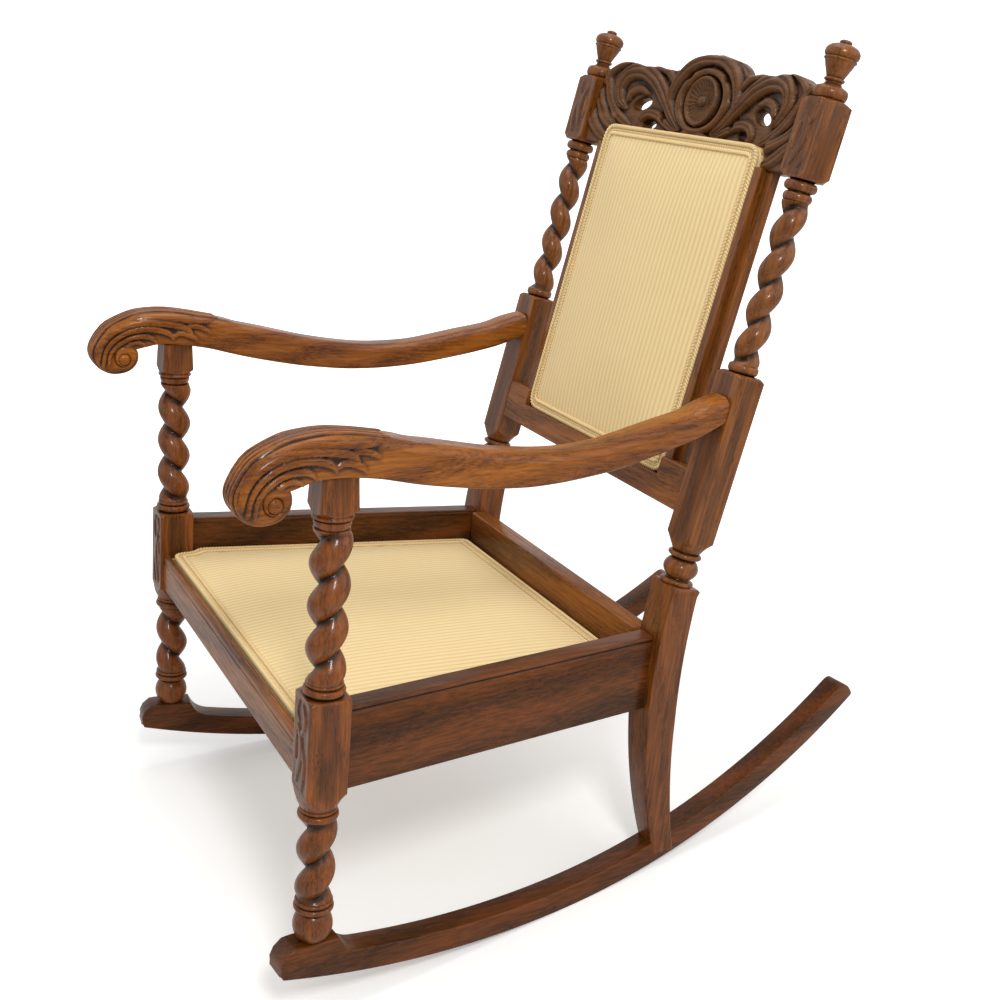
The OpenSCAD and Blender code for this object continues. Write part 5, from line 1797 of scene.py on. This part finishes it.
@dataclass
class BackFrame:
    """The lower back rail and the two stiles that hold the panel."""

    low_s: float = 41.0
    low_top: float = 97.0
    crest_s: float = 468.0
    pocket_s: float = 73.0
    pocket_x: float = 177.2
    pocket_y: float = 4.0
    half: float = 231.8
    panel_corner: float = 18.0

    def lower_rail(self) -> Piece:
        """The lower back rail, cut back where the panel sits in it."""
        y0, y1, e = -18.5, 7.5, 2.0
        s0, s1, s2 = self.low_s, self.pocket_s, self.low_top
        full = [(y0 + e, s0), (y1 - e, s0), (y1, s0 + e), (y1, s2 - e), (y1 - e, s2), (y0 + e, s2), (y0, s2 - e),
                (y0, s1 + 6), (y0, s0 + e)]
        cut = [(y0 + e, s0), (y1 - e, s0), (y1, s0 + e), (y1, s2 - e), (y1 - 1, s2), (self.pocket_y, s2),
               (self.pocket_y, s1), (y0, s1), (y0, s0 + e)]
        half, pocket = self.half, self.pocket_x
        past = pocket + 0.05
        stations = [(-half, full), (-past, full), (-pocket, cut), (pocket, cut), (past, full), (half, full)]
        rings = np.array([[[x, y, s] for y, s in shape] for x, shape in stations])
        return ring_piece("lower_back_rail_planed", RAKE.chair(rings), sharp_deg=35.0)

    def panel_bar(self, side: Side) -> Piece:
        """A side bar of the panel's frame, its two outer corners rounded like the padding over it.

        Args:
            side: which side of the chair.

        Returns:
            The new object.
        """
        c = self.panel_corner
        arc = [(c * math.sin(a), c * (1 - math.cos(a))) for a in np.linspace(0, math.pi / 2, 7)]
        s0, s1, x0, x1 = 73.6, 496.4, 126.5, 176.3
        outer = [(x1 - c + u, s0 + v) for u, v in arc] + [(x1 - c + u, s1 - v) for u, v in reversed(arc)]
        shape = [(x0, s0)] + outer + [(x0, s1)]
        rings = np.array([[[x, y, s] for x, s in shape] for y in (4.0, -6.4)])
        rings = mirrored(RAKE.chair(rings), side)
        return ring_piece(f"panel_frame_{side.word}_rounded", rings, sharp_deg=BOARD_SHARP_DEG)

    def stile(self, side: Side) -> Piece:
        """A back stile with its rebate and its proud front strip.

        Args:
            side: which side of the chair.

        Returns:
            The new object.
        """
        section = [(203, -2.6), (202.4, -3.2), (190.6, -3.2), (190.4, -12.2), (189.6, -13), (178, -13),
                   (177.2, -12.2), (177.2, 4), (169, 4), (169, 9), (203, 9)]
        ss = np.linspace(self.low_top + 0.05, self.crest_s + 3.0, 6)
        rings = np.array([[[px, py, s] for px, py in section] for s in ss])
        return ring_piece(f"back_stile_{side.word}_planed", mirrored(RAKE.chair(rings), side), sharp_deg=30.0)


# Upholstery


def rounded_outline(corners: Sequence[tuple[float, float]], radius: float, spacing: float) -> Array:
    """A closed outline with rounded corners.

    Args:
        corners: corner points, counter-clockwise.
        radius: how far from a corner its curve starts.
        spacing: distance between two points.

    Returns:
        Evenly spaced points.
    """
    c = np.asarray(corners, float)
    out = []
    for i, p in enumerate(c):
        a, b = c[i - 1] - p, c[(i + 1) % len(c)] - p
        ra, rb = min(radius, np.linalg.norm(a) * 0.45), min(radius, np.linalg.norm(b) * 0.45)
        a, b = a / np.linalg.norm(a), b / np.linalg.norm(b)
        for t in np.linspace(0, 1, 9):
            out.append(p + a * ra * (1 - t) ** 2 + b * rb * t**2)
    return evenly_round(out, spacing)


def inset_outline(outline: Array, inset: float) -> Array:
    """The outline moved inwards in small steps, eased at each so that its corners don't fold.

    Args:
        outline: its points.
        inset: how far in, in millimetres.

    Returns:
        The moved points, as many as before.
    """
    p = outline.copy()
    steps = max(1, math.ceil(abs(inset) / 1.5))
    for _ in range(steps):
        ahead = np.roll(p, -1, 0) - np.roll(p, 1, 0)
        normal = np.stack([-ahead[:, 1], ahead[:, 0]], -1)
        normal /= np.linalg.norm(normal, axis=1, keepdims=True)
        p = p + normal * inset / steps
        if inset > 1.5:
            p = p * 0.6 + (np.roll(p, -1, 0) + np.roll(p, 1, 0)) * 0.2
    return p


@dataclass
class Padding:
    """A stuffed pad over a flat frame: cloth down its sides, a ledge for the braid and a crowned middle."""

    name: str
    corners: tuple[tuple[float, float], ...]
    radius: float
    skirt: float
    edge: float
    crown: float
    base: float
    braid: float
    place: Callable[[Array], Array]
    # Painted shade at the braid's inner edge, in it and beside it
    seam_shade: tuple[float, float, float] = (0.2, 0.75, 0.25)

    def outline(self, spacing: float = 4.0) -> Array:
        """The pad's outline."""
        return rounded_outline(self.corners, self.radius, spacing)

    def build(self) -> Piece:
        """Builds the pad before it is settled."""
        out = self.outline()
        centre = out.mean(0)
        skirt = ((1, -self.skirt), (0, 0.8 - self.skirt), (0, self.edge * 0.55), (0.6, self.edge))
        ledge = ((3.0, self.edge + 0.4), (self.braid - 1.5, self.edge + 0.2), (self.braid + 0.2, self.edge - 0.6))
        rings = []
        for inset, z in skirt + ledge:
            p = inset_outline(out, inset)
            rings.append(np.column_stack([p, np.full(len(p), z)]))
        inner = inset_outline(out, self.braid + 1.0)
        for t in np.linspace(0.01, 0.985, 46):
            p = centre + (inner - centre) * (1 - t)
            z = self.edge + 0.8 + (self.crown - 0.8) * (1 - (1 - t) ** 2.6) ** 0.75
            rings.append(np.column_stack([p, np.full(len(p), z)]))
        pts = np.array(rings)
        pts[..., 2] += self.base
        hollow = np.zeros(pts.shape[:2])
        # Painted shade along the braid's inner edge
        hollow[5:8] = np.array(self.seam_shade)[:, None]
        return ring_piece(self.name, self.place(pts), hollow, sharp_deg=80.0)


@dataclass(frozen=True)
class Settling:
    """A short cloth simulation that plumps a pad, with its base held and its travel capped."""

    voxel_mm: float = 5.0
    pressure: float = 4.0
    frames: int = 20
    cap_mm: float = 2.5
    quality: int = 5
    mass: float = 0.3
    stretch: float = 15.0
    shear: float = 5.0
    bending: float = 0.5

    def run(self, obj: Piece, held: Callable[[Array], Array]) -> None:
        """Plumps the pad in place.

        Args:
            obj: the pad, in the shared frame.
            held: gives each vertex's hold, from 0 free to 1 held, from its place in metres.
        """
        scene = bpy.context.scene
        self.remesh(obj)
        mesh = obj.data
        co = np.zeros(len(mesh.vertices) * 3)
        mesh.vertices.foreach_get("co", co)
        co = co.reshape(-1, 3)
        hold = held(co)
        group = obj.vertex_groups.new(name="held")
        for i, w in enumerate(hold):
            if w > 0:
                group.add([i], float(w), "REPLACE")
        cloth = obj.modifiers.new("plump", "CLOTH")
        given = cloth.settings
        given.quality = self.quality
        given.mass = self.mass
        given.tension_stiffness = given.compression_stiffness = self.stretch
        given.shear_stiffness = self.shear
        given.bending_stiffness = self.bending
        given.use_pressure = True
        given.uniform_pressure_force = self.pressure
        given.effector_weights.gravity = 0
        given.vertex_group_mass = "held"
        cloth.point_cache.frame_start = 1
        cloth.point_cache.frame_end = self.frames
        for f in range(1, self.frames + 1):
            scene.frame_set(f)
        result = obj.evaluated_get(bpy.context.evaluated_depsgraph_get())
        after = np.zeros(len(co) * 3)
        result.data.vertices.foreach_get("co", after)
        move = after.reshape(-1, 3) - co
        far = np.linalg.norm(move, axis=1, keepdims=True)
        move *= np.minimum(1.0, self.cap_mm * MM / np.maximum(far, 1e-9))
        move *= (1 - hold)[:, None]
        obj.modifiers.clear()
        obj.vertex_groups.clear()
        scene.frame_set(1)
        mesh.vertices.foreach_set("co", (co + move).reshape(-1))
        mesh.update()
        obj.modifiers.new("smooth", "SUBSURF").levels = 1
        self.apply(obj)

    def remesh(self, obj: Piece) -> None:
        """Gives the pad an even net of quads.

        Args:
            obj: the pad.
        """
        m = obj.modifiers.new("even", "REMESH")
        m.mode = "VOXEL"
        m.voxel_size = self.voxel_mm * MM
        m.use_smooth_shade = True
        self.apply(obj)

    def apply(self, obj: Piece) -> None:
        """Applies the object's modifiers.

        Args:
            obj: the object.
        """
        mesh = bpy.data.meshes.new_from_object(obj.evaluated_get(bpy.context.evaluated_depsgraph_get()))
        obj.modifiers.clear()
        old = obj.data
        obj.data = mesh
        bpy.data.meshes.remove(old)


def braid_tree() -> Tree:
    """Geometry nodes that lay overlapping woven lozenges along a curve."""
    tree = bpy.data.node_groups.new("woven_braid", "GeometryNodeTree")
    inputs = (
        ("Path", "Geometry"), ("Spacing", "Float"), ("Length", "Float"), ("Width", "Float"), ("Height", "Float"),
        ("Slant", "Float"), ("Facing", "Vector"), ("Cloth", "Material"),
    )
    for label, kind in inputs:
        tree.interface.new_socket(label, in_out="INPUT", socket_type=f"NodeSocket{kind}")
    tree.interface.new_socket("Braid", in_out="OUTPUT", socket_type="NodeSocketGeometry")
    given = node(tree, "NodeGroupInput").outputs
    path = node(tree, "GeometryNodeMeshToCurve", links={"Mesh": given["Path"]})
    curve = node(
        tree, "GeometryNodeSetCurveNormal", {"mode": "FREE"},
        {"Curve": path.outputs[0], "Normal": given["Facing"]},
    )
    even = node(
        tree, "GeometryNodeCurveToPoints", {"mode": "LENGTH"},
        {"Curve": curve.outputs[0], "Length": given["Spacing"]},
    )
    ball = node(tree, "GeometryNodeMeshUVSphere", links={"Segments": 8, "Rings": 5, "Radius": 0.5})
    size = node(
        tree, "ShaderNodeCombineXYZ",
        links={"X": given["Height"], "Y": given["Width"], "Z": given["Length"]},
    )
    shaped = node(tree, "GeometryNodeTransform", links={"Geometry": ball.outputs[0], "Scale": size.outputs[0]})
    turn = node(tree, "ShaderNodeCombineXYZ", links={"X": given["Slant"]})
    as_turn = node(tree, "FunctionNodeEulerToRotation", links={0: turn.outputs[0]})
    slanted = node(
        tree, "FunctionNodeRotateRotation", {"rotation_space": "LOCAL"},
        {0: even.outputs["Rotation"], 1: as_turn.outputs[0]},
    )
    laid = node(
        tree, "GeometryNodeInstanceOnPoints",
        links={"Points": even.outputs["Points"], "Instance": shaped.outputs[0], "Rotation": slanted.outputs[0]},
    )
    real = node(tree, "GeometryNodeRealizeInstances", links={0: laid.outputs[0]})
    smooth = node(tree, "GeometryNodeSetShadeSmooth", links={0: real.outputs[0]})
    covered = node(
        tree, "GeometryNodeSetMaterial",
        links={"Geometry": smooth.outputs[0], "Material": given["Cloth"]},
    )
    node(tree, "NodeGroupOutput", links={"Braid": covered.outputs[0]})
    return tree


@dataclass(frozen=True)
class StitchRow:
    """A row of stitches: how far in it runs, its height as a share of the band's, and one stitch's sizes."""

    inset: float
    lift_share: float
    slant: float
    spacing: float
    length: float
    height: float
    width: float = 0.0034

    def inputs(self, facing: list[float], cloth: Material) -> dict[str, object]:
        """What the node tree is given, in metres and radians."""
        return {
            "Spacing": self.spacing, "Length": self.length, "Width": self.width, "Height": self.height,
            "Slant": self.slant, "Facing": facing, "Cloth": cloth,
        }


@dataclass
class Braid:
    """A woven border: a flat band with two raised rolls, and slanted stitches laid along each roll."""

    name: str
    pad: Padding
    width: float = 15.0
    thickness: float = 2.6
    rows: tuple[StitchRow, ...] = (
        StitchRow(2.4, 0.75, 0.75, 0.0044, 0.0078, 0.0036),
        StitchRow(12.4, 0.75, -0.75, 0.0044, 0.0078, 0.0036),
        StitchRow(7.4, 0.3, 0.0, 0.005, 0.0042, 0.0018),
    )

    def build(self, tree: Tree, cloth: Material) -> Piece:
        """Builds the border.

        Args:
            tree: the node tree that lays the stitches.
            cloth: the braid's material.

        Returns:
            The border as one mesh.
        """
        out = self.pad.outline(3.0)
        w, t = self.width, self.thickness
        z0 = self.pad.base + self.pad.edge
        profile = [
            (-0.5, -1.2), (-0.6, 0.6), (0.2, t * 0.7), (2.2, t * 0.7), (4.4, t * 0.6), (6.2, t * 0.4),
            (w * 0.5, t * 0.35), (8.8, t * 0.4), (10.6, t * 0.6), (12.8, t * 0.7), (w - 0.6, t * 0.5), (w, 0.1),
            (w - 0.5, -0.8),
        ]
        # Painted shade over the whole band, least in its middle and most at its outer edge
        hollow = [0.5, 0.4, 0.45, 0.45, 0.45, 0.4, 0.35, 0.4, 0.45, 0.45, 0.5, 0.6, 0.7]
        rows = []
        for inset, z in profile:
            p = inset_outline(out, inset)
            rows.append(np.column_stack([p, np.full(len(p), z0 + z)]))
        pts = np.array(rows).transpose(1, 0, 2)
        n, m = pts.shape[:2]
        verts = STANCE.world(self.pad.place(pts).reshape(-1, 3))
        i, k = np.meshgrid(np.arange(n), np.arange(m), indexing="ij")
        here, ahead, beside = i * m, (i + 1) % n * m, (k + 1) % m
        quads = np.stack([here + k, ahead + k, ahead + beside, here + beside], -1).reshape(-1, 4)
        faces = [tuple(q) for q in quads.tolist()]
        band = finish_mesh(self.name, verts, faces, np.tile(hollow, n), 80.0)
        band.data.materials.append(cloth)
        for row in self.rows:
            self.stitches(band, tree, cloth, row)
        return band

    def stitches(self, band: Piece, tree: Tree, cloth: Material, row: StitchRow) -> None:
        """Lays one row of stitches and joins it to the band.

        Args:
            band: the band.
            tree: the node tree that lays the stitches.
            cloth: the braid's material.
            row: the row.
        """
        p = inset_outline(self.pad.outline(2.0), row.inset)
        z = self.pad.base + self.pad.edge + self.thickness * row.lift_share
        rows = [np.column_stack([p, np.full(len(p), z + up)]) for up in (0.0, 1.0)]
        pts, above = (STANCE.world(self.pad.place(r)) for r in rows)
        facing = (above - pts)[0] / np.linalg.norm((above - pts)[0])
        mesh = bpy.data.meshes.new(f"{self.name}_row")
        n = len(pts)
        mesh.from_pydata(pts.tolist(), [(i, (i + 1) % n) for i in range(n)], [])
        obj = add_object(f"{self.name}_row", mesh)
        mod = obj.modifiers.new("stitches", "NODES")
        mod.node_group = tree
        wanted = row.inputs(facing.tolist(), cloth)
        for item in tree.interface.items_tree:
            if item.name in wanted and item.in_out == "INPUT":
                mod[item.identifier] = wanted[item.name]
        obj.update_tag()
        baked = bpy.data.meshes.new_from_object(obj.evaluated_get(bpy.context.evaluated_depsgraph_get()))
        bpy.data.objects.remove(obj)
        self.join(band, add_object(f"{self.name}_part", baked))

    def join(self, band: Piece, part: Piece) -> None:
        """Adds a part's mesh to the band's and removes the part.

        Args:
            band: the band.
            part: the part.
        """
        bm = bmesh.new()
        bm.from_mesh(band.data)
        bm.from_mesh(part.data)
        bm.to_mesh(band.data)
        bm.free()
        mesh = part.data
        bpy.data.objects.remove(part)
        bpy.data.meshes.remove(mesh)


def on_back(points: Array) -> Array:
    """Turns pad points, X, height up the back and distance forward, into the chair's frame."""
    return RAKE.chair(np.stack([points[..., 0], -points[..., 2], points[..., 1]], -1))


def on_seat(points: Array) -> Array:
    """Seat pads are drawn in the chair's frame already."""
    return points


BACK_PAD = Padding(
    "back_panel_padding",
    ((-177.1, 73.2), (177.1, 73.2), (177.1, 496.9), (-177.1, 496.9)),
    22.0, 8.0, 5.0, 9.0, 6.5, 15.0, on_back,
)
SEAT_PAD = Padding(
    "seat_padding",
    (
        (277, -7), (286.5, 1), (286.5, 24), (299.6, 34), (239.2, 444.4), (-239.2, 444.4), (-299.6, 34),
        (-286.5, 24), (-286.5, 1), (-277, -7),
    ),
    12.0, 2.0, 5.0, 9.5, 311.0, 15.0, on_seat,
)


# Scene


@dataclass(frozen=True)
class Lamp:
    """A soft square lamp that looks at a height over the origin, in metres and watts."""

    name: str
    place: tuple[float, float, float]
    size: float
    watts: float
    aim_z: float = 0.5

    def build(self) -> None:
        """Adds the lamp to the scene."""
        data = bpy.data.lights.new(self.name, "AREA")
        data.shape = "SQUARE"
        data.size = self.size
        data.energy = self.watts
        obj = add_object(self.name, data)
        obj.location = self.place
        look = Vector(self.place) - Vector((0.0, 0.0, self.aim_z))
        obj.rotation_euler = look.to_track_quat("Z", "Y").to_euler()


@dataclass(frozen=True)
class Studio:
    """Floor, lamps, background and the camera at the photograph's place."""

    camera_mm: tuple[float, float, float] = (1538.355, -487.393, 917.554 + 113.0)
    right: tuple[float, float, float] = (0.45943137, 0.8841259, 0.08511294)
    down: tuple[float, float, float] = (0.30946957, -0.06951715, -0.94836488)
    ahead: tuple[float, float, float] = (-0.83255714, 0.46204844, -0.30554844)
    focal_px: float = 1352.904
    picture_px: float = 1000.0
    sensor_mm: float = 36.0
    floor_half: float = 30.0
    # Where the floor's own glow starts and is full, by distance from the chair, and its strength at both
    glow_reach: tuple[float, float] = (0.6, 2.2)
    glow: tuple[float, float] = (0.25, 1.0)
    soft_light: float = 0.55
    lamps: tuple[Lamp, ...] = (
        Lamp("key", (2.3, -0.6, 2.4), 0.5, 38.0),
        Lamp("fill", (1.6, 1.7, 1.6), 2.0, 15.0),
        Lamp("front", (-1.2, -2.2, 1.6), 2.0, 6.0),
        Lamp("top", (0.0, 0.2, 3.0), 1.8, 31.0, 0.4),
    )

    def camera(self) -> None:
        """Places the camera as it stood to the chair, leaned with it."""
        data = bpy.data.cameras.new("camera")
        data.sensor_width = self.sensor_mm
        data.lens = self.focal_px * self.sensor_mm / self.picture_px
        data.clip_start, data.clip_end = 0.05, 50.0
        cam = add_object("camera", data)
        axes = Matrix((self.right, [-v for v in self.down], [-v for v in self.ahead])).transposed()
        turn = STANCE.turn() @ axes
        place = STANCE.world(np.array(self.camera_mm))
        cam.matrix_world = Matrix.Translation(Vector(place)) @ turn.to_4x4()
        bpy.context.scene.camera = cam

    def floor(self) -> None:
        """A pale floor that keeps the shadow."""
        mesh = bpy.data.meshes.new("floor")
        far = self.floor_half
        mesh.from_pydata([(-far, -far, 0), (far, -far, 0), (far, far, 0), (-far, far, 0)], [], [(0, 1, 2, 3)])
        obj = add_object("floor", mesh)
        mat, tree = blank_material("pale_floor")
        path = node(tree, "ShaderNodeLightPath")
        matt = node(tree, "ShaderNodeBsdfDiffuse", links={"Color": linear("f4f4f2")})
        coord = node(tree, "ShaderNodeTexCoord").outputs["Object"]
        away = node(tree, "ShaderNodeVectorMath", {"operation": "LENGTH"}, {0: coord}).outputs["Value"]
        glow = node(
            tree, "ShaderNodeEmission",
            links={"Color": (1, 1, 1, 1), "Strength": remap(tree, away, self.glow_reach, self.glow)},
        )
        lit = node(tree, "ShaderNodeAddShader", links={0: matt.outputs[0], 1: glow.outputs[0]})
        seen = node(
            tree, "ShaderNodeMixShader",
            links={0: path.outputs["Is Camera Ray"], 1: matt.outputs[0], 2: lit.outputs[0]},
        )
        node(tree, "ShaderNodeOutputMaterial", links={"Surface": seen.outputs[0]})
        obj.data.materials.append(mat)

    def world(self) -> None:
        """A white background for the camera and reflections, a soft grey light for the rest."""
        world = bpy.data.worlds.new("studio")
        world.use_nodes = True
        tree = world.node_tree
        tree.nodes.clear()
        path = node(tree, "ShaderNodeLightPath")
        seen = maths(tree, "MAXIMUM", path.outputs["Is Camera Ray"], path.outputs["Is Transmission Ray"])
        shown = maths(tree, "MAXIMUM", seen, path.outputs["Is Glossy Ray"])
        soft, white = (
            node(tree, "ShaderNodeBackground", links={"Color": (1, 1, 1, 1), "Strength": strength})
            for strength in (self.soft_light, 1.0)
        )
        mix = node(tree, "ShaderNodeMixShader", links={0: shown, 1: soft.outputs[0], 2: white.outputs[0]})
        node(tree, "ShaderNodeOutputWorld", links={"Surface": mix.outputs[0]})
        bpy.context.scene.world = world

    def build(self) -> None:
        """Builds the whole studio."""
        self.world()
        self.floor()
        for lamp in self.lamps:
            lamp.build()
        self.camera()
        bpy.context.scene.view_settings.view_transform = "Standard"


def build_wood(shop: Workshop) -> None:
    """Builds every piece of wood that shows.

    Args:
        shop: keeps the finishes and dresses the pieces.
    """
    box, back = SeatBox(), BackFrame()
    for side in Side:
        hand = side.word
        pieces = (
            (front_post(side).build(side, on_front_axis), OAK_UPRIGHT, [f"{hand}_front_post"]),
            (rear_post(side).build(side, on_rear_axis), OAK_RAKED, [f"{hand}_rear_post"]),
            (RearLeg().build(side), OAK_UPRIGHT, []),
            (finial(side).build(side, on_rear_axis), OAK_RAKED, [f"{hand}_finial"]),
            (Runner().build(side), OAK_ALONG, [f"{hand}_rocker"]),
            (Arm().build(side), OAK_ARM, [f"{hand}_arm"]),
            (box.side_rail(side), OAK_ALONG, [f"{hand}_side_rail"]),
            (box.side_bead(side), OAK_ALONG, []),
            (back.stile(side), OAK_RAKED, [f"{hand}_back_stile"]),
        )
        for obj, finish, stands_for in pieces:
            shop.dress(obj, finish, "chair", stands_for)
        shop.dress(back.panel_bar(side), BEECH, "chair", [f"panel_frame_{hand}"])
    shop.dress(box.back_rail(), OAK_ACROSS, "chair", ["back_rail"])
    shop.dress(box.front_rail(), OAK_ACROSS, "chair", ["front_rail"])
    shop.dress(back.lower_rail(), OAK_ACROSS, "chair", ["lower_back_rail"])
    shop.dress(Crest().build(), OAK_CARVED, "chair", ["crest_rail"])


def hold_of(pad: Padding) -> Callable[[Array], Array]:
    """How the pad is held while it is plumped: all that lies at or under its braid stays where it is.

    Args:
        pad: the pad.

    Returns:
        A function that gives each vertex's hold, from 0 free to 1 held, from its place in metres.
    """
    inner = inset_outline(pad.outline(), pad.braid + 2.0)
    edge = STANCE.world(pad.place(np.column_stack([inner, np.full(len(inner), pad.base + pad.edge)])))
    centre = edge.mean(0)
    normal = np.cross(edge[len(edge) // 3] - centre, edge[2 * len(edge) // 3] - centre)
    normal /= np.linalg.norm(normal)
    crown = np.array([[*pad.outline().mean(0), pad.base + pad.edge + pad.crown]])
    normal *= np.sign((STANCE.world(pad.place(crown))[0] - centre) @ normal)

    def held(places: Array) -> Array:
        """The hold at those places."""
        return 1 - smoothstep((places - centre) @ normal, 0.0008, 0.003)

    return held


def build_upholstery(shop: Workshop) -> None:
    """Builds the padding of back and seat and their braid.

    Args:
        shop: keeps the finishes and dresses the pieces.
    """
    tree = braid_tree()
    for pad, body, nodes in ((BACK_PAD, "chair", "back"), (SEAT_PAD, "seat", "seat")):
        obj = pad.build()
        Settling().run(obj, hold_of(pad))
        shop.dress(obj, RIBBED, body, [f"{nodes}_cushion"])
        border = Braid(f"{nodes}_braid_woven", pad).build(tree, shop.material(BRAID))
        shop.dress(border, BRAID, body, [f"{nodes}_border"])


def dress_cad(shop: Workshop) -> None:
    """Gives the carried-over nodes their finishes.

    Args:
        shop: keeps the finishes and dresses the pieces.
    """
    finishes = {
        "plain_wood": BEECH, "jute": JUTE, "screw_steel": STEEL, "show_wood": OAK_UPRIGHT,
        "ribbed_cloth": RIBBED, "braid": BRAID,
    }
    slots = {p["node"]: p["material_slot"] for p in frame["record"]["subparts"]}
    for name, obj in frame["nodes"].items():
        obj.data.materials.clear()
        obj.data.materials.append(shop.material(finishes[slots[name]]))


def main() -> None:
    logging.basicConfig(level=logging.INFO, format="%(name)s %(message)s")
    shop = Workshop()
    dress_cad(shop)
    build_wood(shop)
    build_upholstery(shop)
    Studio().build()


if __name__ == "__main__":
    main()
